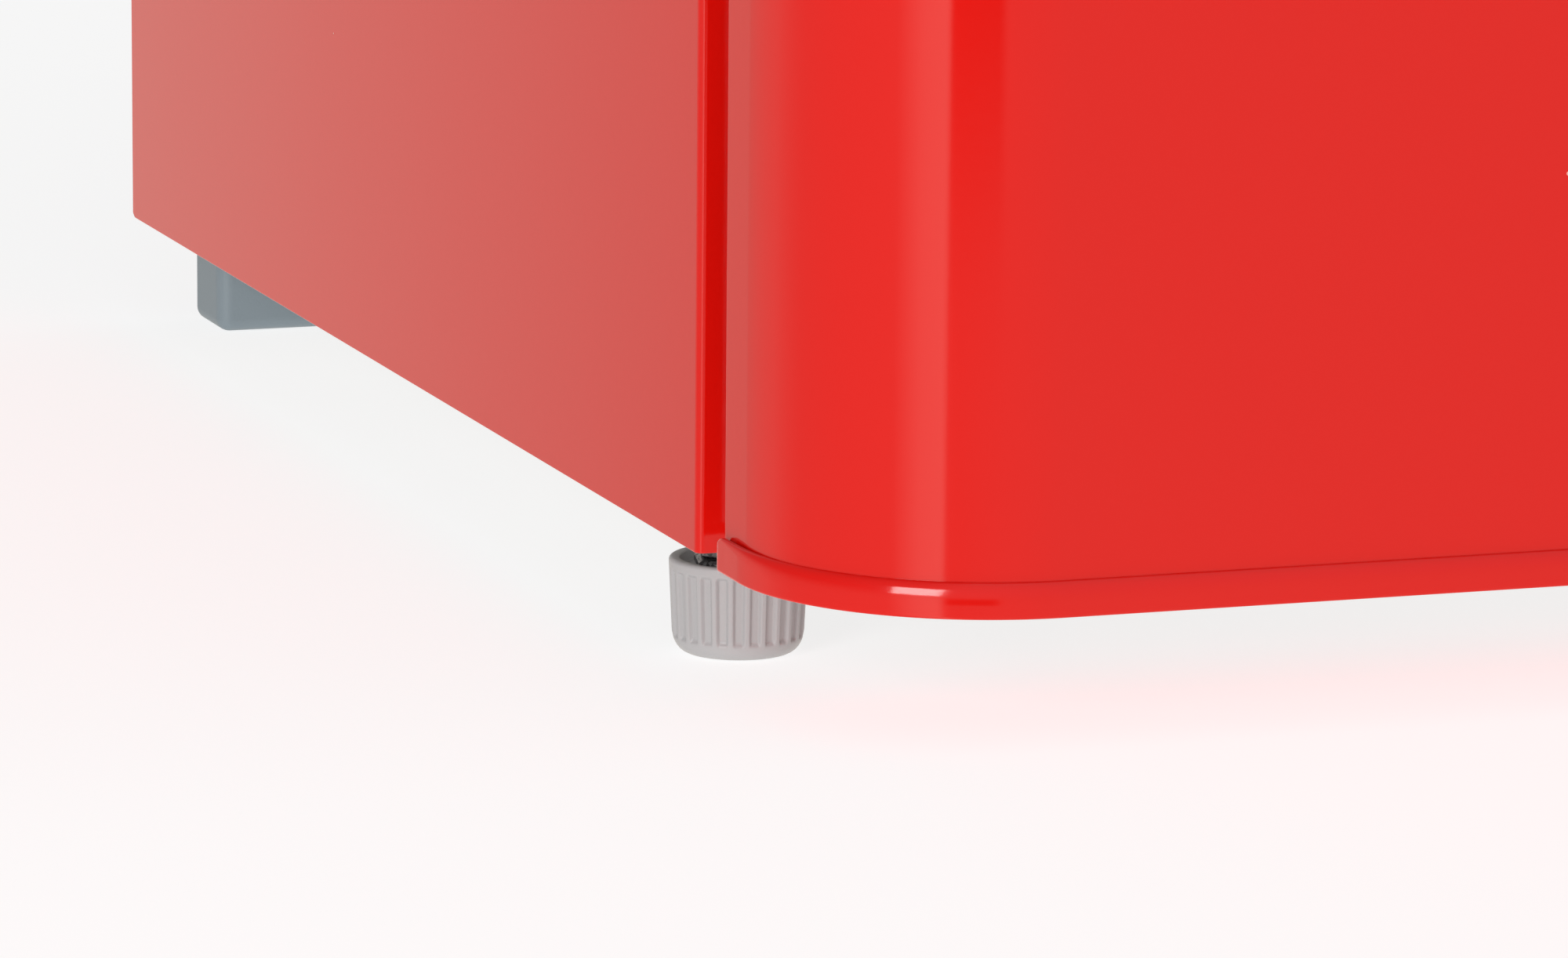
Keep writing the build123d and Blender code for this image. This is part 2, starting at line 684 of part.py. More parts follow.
def shelf_trim(z):
    """Plastic strip clipped over the front edge of a glass shelf."""
    x = cavity_half - rib_reach - side_clearance
    y0 = front_y + shelf_setback - 1
    trim = block(-x, x, y0, y0 + trim_depth, z - (trim_height - glass) / 2, z + (trim_height + glass) / 2)
    trim = fillet(trim.edges().filter_by(Axis.X).group_by(Axis.Y)[0], 4)
    return trim - block(-x - 1, x + 1, front_y + shelf_setback + 2, y0 + trim_depth + 1, z, z + glass)


drawer_setback = 120.0        # cabinet front to the front of the drawer
drawer_wall = 2.6
drawer_travel = 35.0


def crisper_drawer():
    """Clear vegetable drawer on the cavity floor, with a pull lip across the front."""
    x = cavity_half - 10
    y0, y1 = front_y + drawer_setback, step_y - 3
    z0, z1 = cavity_floor + touch_gap, step_top - rib_height - 12
    tray = block(-x, x, y0, y1, z0, z1)
    hollow = block(-x + drawer_wall, x - drawer_wall, y0 + drawer_wall, y1 - drawer_wall,
                   z0 + drawer_wall, z1 + 1)
    tray = fillet(tray.edges().filter_by(Axis.Z), 10)
    hollow = fillet(hollow.edges().filter_by(Axis.Z), 10 - drawer_wall)
    lip = block(-60, 60, y0 - 12, y0 + 1, z1 - 4, z1)
    lip += block(-60, 60, y0 - 12, y0 - 9.5, z1 - 14, z1)
    return tray + lip - hollow


ice_half = cavity_half - 13
ice_front = front_y + 126.0
ice_wall = 2.0
ice_hang = 6.0                # ceiling of the cavity to the top of the ice box
ice_back_gap = 8.0            # back of the cavity to the back of the ice box
ice_frame_depth = 14.0
flap_thickness = 8.0
flap_pin_radius = 2.5


def icebox_body():
    """Folded aluminium evaporator box, open at the front."""
    y1, z1 = cavity_back - ice_back_gap, cavity_top - ice_hang
    box = block(-ice_half, ice_half, ice_front, y1, ice_floor, z1)
    hollow = block(-ice_half + ice_wall, ice_half - ice_wall, ice_front - 1, y1 - ice_wall,
                   ice_floor + ice_wall, z1 - ice_wall)
    return box - hollow


def icebox_channels():
    """Refrigerant channels under the floor of the ice box."""
    y0, y1 = ice_front + 25, cavity_back - 40
    made = []
    for n in range(7):
        x = -ice_half + 45 + n * (2 * ice_half - 90) / 6
        made.append(block(x - 3.5, x + 3.5, y0, y1, ice_floor - 2.4, ice_floor))
    return made


def icebox_hangers():
    """Four blocks that carry the ice box from the ceiling."""
    made = []
    for sx in (-1, 1):
        for y in (ice_front + 30, cavity_back - 50):
            made.append(block(sx * (ice_half - 60) - 9, sx * (ice_half - 60) + 9, y - 9, y + 9,
                              cavity_top - ice_hang, cavity_top))
    return made


def icebox_frame():
    """Plastic surround of the ice box mouth, with the ears of the flap."""
    y0 = ice_front - ice_frame_depth
    x = ice_half + 3
    z0, z1 = ice_floor - 4, cavity_top - 2
    frame = block(-x, x, y0, ice_front, z0, z1)
    frame -= block(-ice_half + 6, ice_half - 6, y0 - 1, ice_front + 1, ice_floor + 6, z1 - 12)
    notch = block(-ice_half + 2.5, ice_half - 2.5, y0 - 1, y0 + flap_thickness + 1.5, z0 - 1, z1 - 3)
    frame -= notch
    frame -= rod_x(flap_y, flap_z, -x - 1, x + 1, flap_pin_radius + run_gap)
    return frame


flap_y = ice_front - ice_frame_depth + flap_thickness / 2 + 0.5
flap_z = cavity_top - 2 - 9.0


def icebox_flap():
    """White flap of the ice box, hung from its upper edge."""
    x = ice_half - 2.5 - 0.8
    y0 = ice_front - ice_frame_depth + 0.5
    flap = block(-x, x, y0, y0 + flap_thickness, ice_floor - 2, flap_z)
    flap += rod_x(flap_y, flap_z, -x, x, flap_thickness / 2)
    grip = block(-45, 45, y0 - 5, y0 + 1, ice_floor + 6, ice_floor + 12)
    pins = rod_x(flap_y, flap_z, -x - 4, x + 4, flap_pin_radius)
    return flap + grip + pins


housing_depth = 36.0
housing_height = 68.0
housing_y = front_y + 110.0
housing_length = 150.0
window_start, window_end = 76.0, 144.0      # lamp window, along the housing
window_low, window_high = 6.0, 62.0
housing_z = (shelf_heights[2] + ice_floor - housing_height) / 2
knob_radius = 17.0
knob_y = housing_y + 34.0
knob_z = housing_z + 34.0


def control_housing():
    """Thermostat and lamp housing on the right wall of the cavity."""
    x1 = cavity_half
    box = block(x1 - housing_depth, x1, housing_y, housing_y + housing_length, housing_z, housing_z + housing_height)
    box = fillet(box.edges().filter_by(Axis.X), 10)
    window = block(x1 - housing_depth - 1, x1 - 3, housing_y + window_start, housing_y + window_end,
                   housing_z + window_low, housing_z + window_high)
    shaft = rod_x(knob_y, knob_z, x1 - housing_depth - 1, x1 - 12, 3 + run_gap)
    return box - window - shaft


def lamp_cover():
    """Ribbed clear cover that fills the window of the housing."""
    x1 = cavity_half
    y0, y1 = housing_y + window_start + touch_gap, housing_y + window_end - touch_gap
    z0, z1 = housing_z + window_low + touch_gap, housing_z + window_high - touch_gap
    cover = block(x1 - housing_depth, x1 - 8, y0, y1, z0, z1)
    cover -= block(x1 - housing_depth + 1.6, x1 - 7, y0 + 1.6, y1 - 1.6, z0 + 1.6, z1 - 1.6)
    for n in range(9):
        z = z0 + 5 + n * (z1 - z0 - 10) / 8
        cover += block(x1 - housing_depth - 1, x1 - housing_depth + 0.5, y0 + 3, y1 - 3, z - 1, z + 1)
    return cover


def lamp():
    """Small capsule lamp and its holder behind the cover."""
    x = cavity_half - 16
    z = housing_z + 34
    y0 = housing_y + 80
    holder = rod_y(x, z, y0, y0 + 16, 8)
    bulb = rod_y(x, z, y0 + 16, y0 + 44, 9.5)
    bulb = fillet(bulb.edges().group_by(Axis.Y)[-1], 9)
    return holder, bulb


def lamp_base():
    """Seat of the lamp holder on the housing wall."""
    z = housing_z + 34
    y0 = housing_y + 80
    return block(cavity_half - 8, cavity_half - 3, y0 + 2, y0 + 14, z - 7, z + 7)


def thermostat_knob():
    """Round dial with a grip bar and a shaft."""
    x0 = cavity_half - housing_depth - touch_gap
    knob = rod_x(knob_y, knob_z, x0 - 5, x0, knob_radius)
    grip = block(x0 - 13, x0 - 4, knob_y - knob_radius + 2, knob_y + knob_radius - 2, knob_z - 3.5,
                 knob_z + 3.5)
    shaft = rod_x(knob_y, knob_z, x0 - 1, cavity_half - 14, 3)
    return knob + grip + shaft


switch_x = 120.0
switch_z = cavity_top - 6.0
switch_travel = 3.0


def light_switch():
    """Door switch body let into the ceiling near the front."""
    body = block(switch_x - 9, switch_x + 9, front_y + 12, front_y + 26, switch_z - 7, cavity_top + 12)
    body -= block(switch_x - 3.3, switch_x + 3.3, front_y + 11, front_y + 22, switch_z - 3.3, switch_z + 3.3)
    return body


def light_switch_button():
    """Plunger that the closed door holds in."""
    tip = door_back_y + touch_gap
    button = block(switch_x - 3.2, switch_x + 3.2, tip, front_y + 18, switch_z - 3.2, switch_z + 3.2)
    return fillet(button.edges().group_by(Axis.Y)[0], 1.5)


def drain_tube():
    """Defrost drain from the step of the cavity down to the drip tray."""
    tube = rod_z(drain_x, drain_y, bay_top - 22, step_top, drain_radius)
    return tube - rod_z(drain_x, drain_y, bay_top - 23, step_top + 1, drain_radius - 1.4)


# ---------------------------------------------------------------- compressor bay and back
tray_sheet = 1.5
comp_x = 70.0
comp_y = back_y - bay_depth / 2 - 2
comp_legs = 6.0
comp_half_height = 72.0       # of the shell
comp_shell_lift = 4.0         # foot plate's underside to the bottom of the shell
comp_z = base_height + tray_sheet + comp_legs


def compressor_tray():
    """Galvanised cross tray under the compressor, with turned-up edges."""
    z0, edge = base_height, 12.0
    y0, y1 = bay_y + touch_gap, back_y - sheet - touch_gap
    tray = block(-inner_half, inner_half, y0, y1, z0, z0 + edge)
    return tray - block(-inner_half + tray_sheet, inner_half - tray_sheet, y0 + tray_sheet,
                        y1 - tray_sheet, z0 + tray_sheet, z0 + edge + 1)


def comp_feet():
    return [(comp_x + sx * 72, comp_y + sy * 44) for sx in (-1, 1) for sy in (-1, 1)]


def compressor():
    """Hermetic shell: two domed halves with a weld seam, on a pressed foot plate."""
    rx, ry = 66.0, 52.0
    z0 = comp_z + comp_shell_lift
    barrel = extrude(Pos(0, 0, z0) * Ellipse(rx, ry), 2 * comp_half_height)
    barrel = fillet(barrel.edges().group_by(Axis.Z)[-1], 34)
    barrel = fillet(barrel.edges().group_by(Axis.Z)[0], 20)
    seam = extrude(Pos(0, 0, z0 + comp_half_height - 3) * Ellipse(rx + 4, ry + 4), 6)
    plate = block(-82, 82, -54, 54, comp_z, comp_z + 3)
    plate = fillet(plate.edges().filter_by(Axis.Z), 10)
    neck = extrude(Pos(0, 0, comp_z) * Ellipse(rx - 22, ry - 22), 12)
    shape = Pos(comp_x, comp_y, 0) * (barrel + seam + plate + neck)
    for x, y in comp_feet():
        shape -= rod_z(x, y, comp_z - 1, comp_z + 4, 5)
    return shape


def compressor_grommets():
    """Rubber grommets between the tray and the compressor's plate."""
    made = []
    for x, y in comp_feet():
        made.append(rod_z(x, y, base_height + tray_sheet, comp_z, 9) + rod_z(x, y, comp_z, comp_z + 3, 5)
                    + rod_z(x, y, comp_z + 3, comp_z + 6, 8))
    return made


def start_relay():
    """Terminal and starter box on the side of the compressor."""
    x0 = comp_x - 66 - 40
    box = block(x0, comp_x - 58, comp_y - 24, comp_y + 24, comp_z + 30, comp_z + 92)
    box = fillet(box.edges().filter_by(Axis.X), 5)
    return box - Pos(comp_x, comp_y, 0) * extrude(Pos(0, 0, comp_z) * Ellipse(70.3, 56.3), 200)


def drip_tray():
    """Evaporating tray over the compressor, clipped to its top."""
    z0 = comp_z + comp_shell_lift + 2 * comp_half_height
    x0, x1 = drain_x - 26, comp_x + 58
    outer = block(x0, x1, bay_y + 8, back_y - 40, z0, z0 + 24)
    inner = block(x0 + 2, x1 - 2, bay_y + 10, back_y - 42, z0 + 2, z0 + 25)
    return fillet(outer.edges().filter_by(Axis.Z), 12) - fillet(inner.edges().filter_by(Axis.Z), 10)


coil_y = panel_y + 9.0
coil_tube = 2.4
coil_runs = 11
coil_half = half_width - 62
coil_low = bay_top + 58.0
coil_head_room = 106.0        # top run of the coil to the worktop
coil_pitch = (body_top - coil_head_room - coil_low) / (coil_runs - 1)


def coil_path():
    """Corner points of the serpentine, from the low run up."""
    points = []
    for n in range(coil_runs):
        z = coil_low + n * coil_pitch
        ends = (-coil_half, coil_half) if n % 2 == 0 else (coil_half, -coil_half)
        points += [(ends[0], coil_y, z), (ends[1], coil_y, z)]
    return points


def condenser_coil():
    return tube_along(coil_path(), coil_tube, coil_pitch / 2 - 1)


wire_radius = 0.8
wire_count = 26
wire_margin = 34.0            # end of a coil run to the outermost wire
wire_pitch = 2 * (coil_half - wire_margin) / (wire_count - 1)


def condenser_wires():
    """Vertical wires spot-welded across the runs of the coil."""
    top = coil_low + (coil_runs - 1) * coil_pitch + 14
    y = coil_y + coil_tube + wire_radius + touch_gap / 2
    made = []
    for n in range(wire_count):
        x = wire_margin - coil_half + n * wire_pitch
        made.append(rod_z(x, y, coil_low - 14, top, wire_radius))
    return made


def coil_clips():
    """Clips that hold the coil off the back panel, each between two wires."""
    made = []
    clip = coil_tube + 2.2
    half = wire_pitch / 2 - wire_radius - touch_gap
    middle = coil_half - wire_margin - 1.5 * wire_pitch
    for n in (1, coil_runs - 2):
        z = coil_low + n * coil_pitch
        for x in (-middle, middle):
            one = block(x - half, x + half, panel_y, coil_y + clip, z - clip, z + clip)
            made.append(one - rod_x(coil_y, z, x - half - 1, x + half + 1, coil_tube + run_gap))
    return made


drier_x = -half_width + 120.0


def filter_drier():
    """Copper drier in the bay, on the line from the coil."""
    z0 = base_height + 92
    body = rod_z(drier_x, back_y - 34, z0, z0 + 70, 9)
    body = fillet(body.edges(), 6)
    return body + rod_z(drier_x, back_y - 34, z0 - 12, z0 + 82, 2.6)


def drier_clip():
    """Bracket from the bay wall to the drier."""
    z = base_height + 127
    y = back_y - 34
    clip = block(drier_x - 13, drier_x + 13, y - 13, y + 13, z - 6, z + 6)
    arm = block(drier_x - 6, drier_x + 6, bay_y, y - 12, z - 4, z + 4)
    return clip + arm - rod_z(drier_x, y, z - 7, z + 7, 9 + run_gap)


gland_x = -half_width + 60.0
gland_z = base_height + 30.0
gland_bore = 3.6


def gland_plate():
    """Upright tab on the tray that carries the mains inlet gland."""
    y1 = back_y - sheet - touch_gap - tray_sheet
    return block(gland_x - 22, gland_x + 22, y1 - tray_sheet, y1, base_height + tray_sheet, gland_z + 22) \
        - rod_y(gland_x, gland_z, y1 - 3, y1 + 1, 7)


def cord_gland():
    """Bushing for the mains lead: two flanges and a through bore."""
    y1 = back_y - sheet - touch_gap - tray_sheet
    y0 = y1 - tray_sheet
    ring = rod_y(gland_x, gland_z, y0, y1, 7) + rod_y(gland_x, gland_z, y0 - 6, y0, 9.5)
    ring += rod_y(gland_x, gland_z, y1, back_y - touch_gap, 9.5)
    return ring - rod_y(gland_x, gland_z, y0 - 7, back_y + 1, gland_bore)


# ---------------------------------------------------------------- write the nodes
def main():
    os.makedirs("parts", exist_ok=True)
    right_panel = side_panel()
    save("side_panel_right", right_panel)
    save("side_panel_left", left_of(right_panel))
    save("front_rails", front_rail(base_height, base_height + flange_width),
         front_rail(body_top - flange_width, body_top))
    save("base_pan", base_pan())
    save("back_panel", back_panel())
    save("top_plate", top_plate())
    save("inner_liner", inner_liner())
    save("cabinet_foam", cabinet_foam())
    save("worktop", worktop())

    save("door_skin", door_skin())
    lower_cap, bush = end_cap(), hinge_bush()
    save("door_bottom_cap", lower_cap)
    save("door_top_cap", flipped(lower_cap))
    save("hinge_bushes", bush, flipped(bush))
    save("door_liner", door_liner())
    save("door_foam", door_foam())
    save("door_gasket", gasket())
    save("handle_bar", handle_bar())
    save("handle_posts", *handle_posts())
    save("handle_screws", *handle_screws())
    save("bottle_rack", rack(rack_floors[0], rack_heights[0]))
    save("middle_rack", rack(rack_floors[1], rack_heights[1]))
    save("dairy_rack", rack(rack_floors[2], rack_heights[2]) + dairy_cheeks())
    save("dairy_lid", dairy_lid())
    save("bottle_stop", bottle_stop())

    save("lower_hinge_bracket", lower_hinge_bracket())
    save("upper_hinge_bracket", upper_hinge_bracket())
    save("hinge_pins", lower_hinge_pin(), upper_hinge_pin())
    save("foot_bracket", left_of(foot_plate()))
    save("hex_screws", *hinge_screws(), *foot_plate_screws())
    cap, stud, nut = foot_cap(), foot_stud(), lock_nut()
    save("foot_cap_right", cap)
    save("foot_cap_left", left_of(cap))
    save("foot_stud_right", stud)
    save("foot_stud_left", left_of(stud))
    save("lock_nuts", nut, left_of(nut))
    rear = rear_foot()
    save("rear_feet", rear, left_of(rear))

    for name, z in zip(("crisper_cover", "middle_shelf", "upper_shelf"), shelf_heights):
        save(f"{name}_glass", glass_shelf(z))
    save("shelf_trims", *[shelf_trim(z) for z in shelf_heights])
    save("crisper_drawer", crisper_drawer())
    save("icebox_body", icebox_body())
    save("icebox_channels", *icebox_channels())
    save("icebox_hangers", *icebox_hangers())
    save("icebox_frame", icebox_frame())
    save("icebox_flap", icebox_flap())
    save("control_housing", control_housing())
    save("lamp_cover", lamp_cover())
    holder, bulb = lamp()
    save("lamp", holder + lamp_base(), bulb)
    save("thermostat_knob", thermostat_knob())
    save("light_switch", light_switch())
    save("light_switch_button", light_switch_button())
    save("drain_tube", drain_tube())

    save("compressor_tray", compressor_tray() + gland_plate())
    save("compressor", compressor())
    save("compressor_grommets", *compressor_grommets())
    save("start_relay", start_relay())
    save("drip_tray", drip_tray())
    save("condenser", condenser_coil(), *condenser_wires(), *coil_clips())
    save("filter_drier", filter_drier(), drier_clip())
    save("cord_gland", cord_gland())


main()
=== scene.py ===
import math

import bmesh
import bpy
from mathutils import Matrix, Vector


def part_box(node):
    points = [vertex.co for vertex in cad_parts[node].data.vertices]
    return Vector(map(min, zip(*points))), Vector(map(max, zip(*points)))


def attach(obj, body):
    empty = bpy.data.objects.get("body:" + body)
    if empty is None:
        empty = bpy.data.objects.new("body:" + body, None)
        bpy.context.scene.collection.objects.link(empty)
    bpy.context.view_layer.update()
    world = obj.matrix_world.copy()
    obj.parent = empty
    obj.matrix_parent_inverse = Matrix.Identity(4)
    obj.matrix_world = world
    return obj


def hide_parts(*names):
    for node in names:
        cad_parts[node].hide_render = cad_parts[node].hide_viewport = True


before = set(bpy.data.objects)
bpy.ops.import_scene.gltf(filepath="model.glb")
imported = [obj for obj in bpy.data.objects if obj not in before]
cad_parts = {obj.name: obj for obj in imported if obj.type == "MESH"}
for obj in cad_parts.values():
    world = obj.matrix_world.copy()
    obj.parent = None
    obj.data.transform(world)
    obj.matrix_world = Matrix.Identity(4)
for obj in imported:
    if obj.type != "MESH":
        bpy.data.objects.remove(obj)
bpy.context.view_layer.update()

scene = bpy.context.scene
mm = 0.001


# mesh helpers, in metres; a made shape is a pair of vertices and faces

class Shape:
    def __init__(self):
        self.verts = []
        self.faces = []

    def add(self, made):
        base = len(self.verts)
        verts, faces = made
        self.verts += [tuple(v) for v in verts]
        self.faces += [[base + i for i in f] for f in faces]
        return self


def loft(rings, capped=True, loop=False):
    count = len(rings[0])
    verts = [p for ring in rings for p in ring]
    faces = []
    for r in range(len(rings) if loop else len(rings) - 1):
        a = r * count
        b = ((r + 1) % len(rings)) * count
        for i in range(count):
            j = (i + 1) % count
            faces.append([a + i, a + j, b + j, b + i])
    if capped and not loop:
        last = (len(rings) - 1) * count
        faces.append(list(range(count))[::-1])
        faces.append([last + i for i in range(count)])
    return verts, faces


def roundPath(points, radii, steps=8):
    out = [Vector(points[0])]
    for i in range(1, len(points) - 1):
        before, corner, after = (Vector(points[k]) for k in (i - 1, i, i + 1))
        radius = radii[i - 1] if isinstance(radii, (list, tuple)) else radii
        u, w = (before - corner).normalized(), (after - corner).normalized()
        half = u.angle(w) / 2
        if radius <= 0 or abs(half - math.pi / 2) < 1e-4:
            out.append(corner)
            continue
        reach = radius / math.tan(half)
        centre = corner + (u + w).normalized() * (radius / math.sin(half))
        a, b = corner + u * reach - centre, corner + w * reach - centre
        turn = a.angle(b)
        for k in range(steps + 1):
            t = k / steps
            blend = a * math.sin((1 - t) * turn) + b * math.sin(t * turn)
            out.append(centre + blend / math.sin(turn))
    out.append(Vector(points[-1]))
    return out


def sideNormals(path):
    normals = []
    for i in range(len(path)):
        ahead = path[min(i + 1, len(path) - 1)] - path[max(i - 1, 0)]
        normals.append(Vector((ahead.y, -ahead.x)).normalized())
    return normals


def bentSheet(path, thickness, lowOf, highOf):
    rings = []
    for p, n in zip(path, sideNormals(path)):
        inner = p - n * thickness
        low, high = lowOf(p), highOf(p)
        rings.append([(p.x, p.y, low), (p.x, p.y, high),
                      (inner.x, inner.y, high), (inner.x, inner.y, low)])
    return loft(rings)


def sweptWall(path, profileOf):
    rings = []
    for p, n in zip(path, sideNormals(path)):
        rings.append([(p.x + n.x * o, p.y + n.y * o, z) for o, z in profileOf(p)])
    return loft(rings)


def circle(x, y, z, radius, count):
    turns = [2 * math.pi * k / count for k in range(count)]
    return [(x + radius * math.cos(a), y + radius * math.sin(a), z) for a in turns]


def lathe(profile, centre=(0, 0, 0), segments=48, axis="Z", capped=True):
    rings = []
    cx, cy, cz = centre
    for r, h in profile:
        if axis == "Z":
            ring = circle(cx, cy, cz + h, r, segments)
        elif axis == "Y":
            ring = [(x, cy + h, z) for x, z, _ in circle(cx, cz, 0, r, segments)]
        else:
            ring = [(cx + h, y, z) for y, z, _ in circle(cy, cz, 0, r, segments)]
        rings.append(ring)
    return loft(rings, capped)


def middleLoop(x0, x1, y0, y1, radius, steps):    # rounded rectangle that starts in the middle of its y0 side
    middle = (x0 + x1) / 2
    corners = [(middle, y0), (x1, y0), (x1, y1), (x0, y1), (x0, y0), (middle - 1 * mm, y0)]
    return roundPath(corners, radius, steps)


def softBox(lo, hi, radius, steps=3):
    bm = bmesh.new()
    bmesh.ops.create_cube(bm, size=1.0)
    lo, hi = Vector(lo), Vector(hi)
    for v in bm.verts:
        v.co = Vector([lo[k] + (v.co[k] + 0.5) * (hi[k] - lo[k]) for k in range(3)])
    width = min(radius, min(hi - lo) * 0.49)
    bmesh.ops.bevel(bm, geom=list(bm.edges), offset=width, segments=steps, profile=0.5, affect="EDGES")
    bm.verts.index_update()
    made = [tuple(v.co) for v in bm.verts], [[v.index for v in f.verts] for f in bm.faces]
    bm.free()
    return made


def hexagon(centre, flats, z0, z1, turn=0.0):
    outer = flats / math.sqrt(3)
    chamfer = flats * 0.05
    rise = chamfer * 0.6
    rings = []
    for radius, z in ((outer - chamfer, z0), (outer, z0 + rise), (outer, z1 - rise), (outer - chamfer, z1)):
        turns = [turn + k * math.pi / 3 for k in range(6)]
        rings.append([(centre[0] + radius * math.cos(a), centre[1] + radius * math.sin(a), z) for a in turns])
    return loft(rings)


def roundEdges(target, name, width, angle):
    edge = target.modifiers.new(name, "BEVEL")
    edge.width, edge.segments = width, 2
    edge.limit_method, edge.angle_limit = "ANGLE", math.radians(angle)
    edge.use_clamp_overlap = True


def addPiece(name, shape, body, finish, stands, bevel=0.0, sharp=38):
    mesh = bpy.data.meshes.new(name)
    mesh.from_pydata(shape.verts, [], shape.faces)
    bm = bmesh.new()
    bm.from_mesh(mesh)
    bmesh.ops.recalc_face_normals(bm, faces=bm.faces)
    bm.to_mesh(mesh)
    bm.free()
    mesh.shade_smooth()
    mesh.set_sharp_from_angle(angle=math.radians(sharp))
    piece = bpy.data.objects.new(name, mesh)
    scene.collection.objects.link(piece)
    mesh.materials.append(finishes[finish])
    if bevel:
        roundEdges(piece, "edgeRound", bevel, sharp)
    weight = piece.modifiers.new("faceNormals", "WEIGHTED_NORMAL")
    weight.keep_sharp = True
    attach(piece, body)
    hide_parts(*stands)


def mirrored(made):
    verts, faces = made
    return [(-x, y, z) for x, y, z in verts], [f[::-1] for f in faces]


# shader node groups, shared by the finishes

def newGroup(name, inputs, outputs):
    tree = bpy.data.node_groups.new(name, "ShaderNodeTree")
    for label, value in inputs.items():
        kind = "NodeSocketColor" if isinstance(value, tuple) else "NodeSocketFloat"
        made = tree.interface.new_socket(label, in_out="INPUT", socket_type=kind)
        made.default_value = value
    for label in outputs:
        kind = "NodeSocketColor" if label == "Color" else "NodeSocketFloat"
        tree.interface.new_socket(label, in_out="OUTPUT", socket_type=kind)
    return tree, tree.nodes.new("NodeGroupInput"), tree.nodes.new("NodeGroupOutput")


def place(tree, kind, **values):
    made = tree.nodes.new(kind)
    for key, value in values.items():
        setattr(made, key, value)
    return made


def feed(tree, socket, value):    # a plain value is set on the socket, another node's output is linked to it
    if isinstance(value, (int, float, tuple)):
        socket.default_value = value
    else:
        tree.links.new(value, socket)


def objectPlace(tree):
    return place(tree, "ShaderNodeTexCoord").outputs["Object"]


def faceNormal(tree):
    return place(tree, "ShaderNodeNewGeometry").outputs["Normal"]


def math2(tree, operation, a, b, clamp=False):
    made = place(tree, "ShaderNodeMath", operation=operation, use_clamp=clamp)
    feed(tree, made.inputs[0], a)
    feed(tree, made.inputs[1], b)
    return made.outputs[0]


mixSockets = {"factor": 0, "a": 6, "b": 7, "result": 2}    # the Mix node's colour sockets


def mixColour(tree, factor, a, b):
    made = place(tree, "ShaderNodeMix", data_type="RGBA")
    for label, value in (("factor", factor), ("a", a), ("b", b)):
        feed(tree, made.inputs[mixSockets[label]], value)
    return made.outputs[mixSockets["result"]]


def rampOf(tree, source, low, high):
    made = place(tree, "ShaderNodeMapRange", clamp=True)
    for label, value in (("Value", source), ("From Min", low), ("From Max", high)):
        feed(tree, made.inputs[label], value)
    return made.outputs["Result"]


def noisePair(tree, start, labels):
    where = objectPlace(tree)
    pair = [place(tree, "ShaderNodeTexNoise") for label in labels]
    for noiseNode, label in zip(pair, labels):
        tree.links.new(where, noiseNode.inputs["Vector"])
        tree.links.new(start.outputs[label], noiseNode.inputs["Scale"])
    return pair


def buildGrainGroup():
    tree, start, end = newGroup("fineGrain", {"Scale": 900.0, "Coarse": 60.0, "Coarse Share": 0.3},
                                ["Height", "Value"])
    fine, coarse = noisePair(tree, start, ["Scale", "Coarse"])
    fine.inputs["Detail"].default_value = 3
    weighted = math2(tree, "MULTIPLY", coarse.outputs[0], start.outputs["Coarse Share"])
    tree.links.new(math2(tree, "ADD", fine.outputs[0], weighted), end.inputs["Height"])
    tree.links.new(coarse.outputs[0], end.inputs["Value"])
    return tree


def buildDustGroup():
    inputs = {"Color": (0.5, 0.5, 0.5, 1), "Dust Color": (0.75, 0.72, 0.68, 1), "Roughness": 0.3,
              "Amount": 0.2}
    tree, start, end = newGroup("settledDust", inputs, ["Color", "Roughness"])
    up = place(tree, "ShaderNodeSeparateXYZ")
    tree.links.new(faceNormal(tree), up.inputs[0])
    cloud = place(tree, "ShaderNodeTexNoise")
    tree.links.new(objectPlace(tree), cloud.inputs["Vector"])
    cloud.inputs["Scale"].default_value = 38
    cloud.inputs["Detail"].default_value = 6
    facing = rampOf(tree, up.outputs["Z"], 0.2, 1.0)
    cloudy = math2(tree, "MULTIPLY", facing, cloud.outputs[0])
    mask = math2(tree, "MULTIPLY", cloudy, start.outputs["Amount"], True)
    dusty = mixColour(tree, mask, start.outputs["Color"], start.outputs["Dust Color"])
    tree.links.new(dusty, end.inputs["Color"])
    dull = math2(tree, "ADD", start.outputs["Roughness"], math2(tree, "MULTIPLY", mask, 0.5))
    tree.links.new(dull, end.inputs["Roughness"])
    return tree


def buildEdgeGroup():
    inputs = {"Color": (0.5, 0.5, 0.5, 1), "Edge Color": (0.8, 0.8, 0.8, 1), "Width": 0.0008, "Amount": 0.3}
    tree, start, end = newGroup("edgeWear", inputs, ["Color", "Mask"])
    soft = place(tree, "ShaderNodeBevel", samples=3)
    tree.links.new(start.outputs["Width"], soft.inputs["Radius"])
    dot = place(tree, "ShaderNodeVectorMath", operation="DOT_PRODUCT")
    tree.links.new(soft.outputs[0], dot.inputs[0])
    tree.links.new(faceNormal(tree), dot.inputs[1])
    edge = rampOf(tree, math2(tree, "SUBTRACT", 1.0, dot.outputs["Value"]), 0.02, 0.25)
    patchy = place(tree, "ShaderNodeTexNoise")
    tree.links.new(objectPlace(tree), patchy.inputs["Vector"])
    patchy.inputs["Scale"].default_value = 210
    worn = math2(tree, "MULTIPLY", edge, rampOf(tree, patchy.outputs[0], 0.35, 0.7))
    mask = math2(tree, "MULTIPLY", worn, start.outputs["Amount"], True)
    rubbed = mixColour(tree, mask, start.outputs["Color"], start.outputs["Edge Color"])
    tree.links.new(rubbed, end.inputs["Color"])
    tree.links.new(mask, end.inputs["Mask"])
    return tree


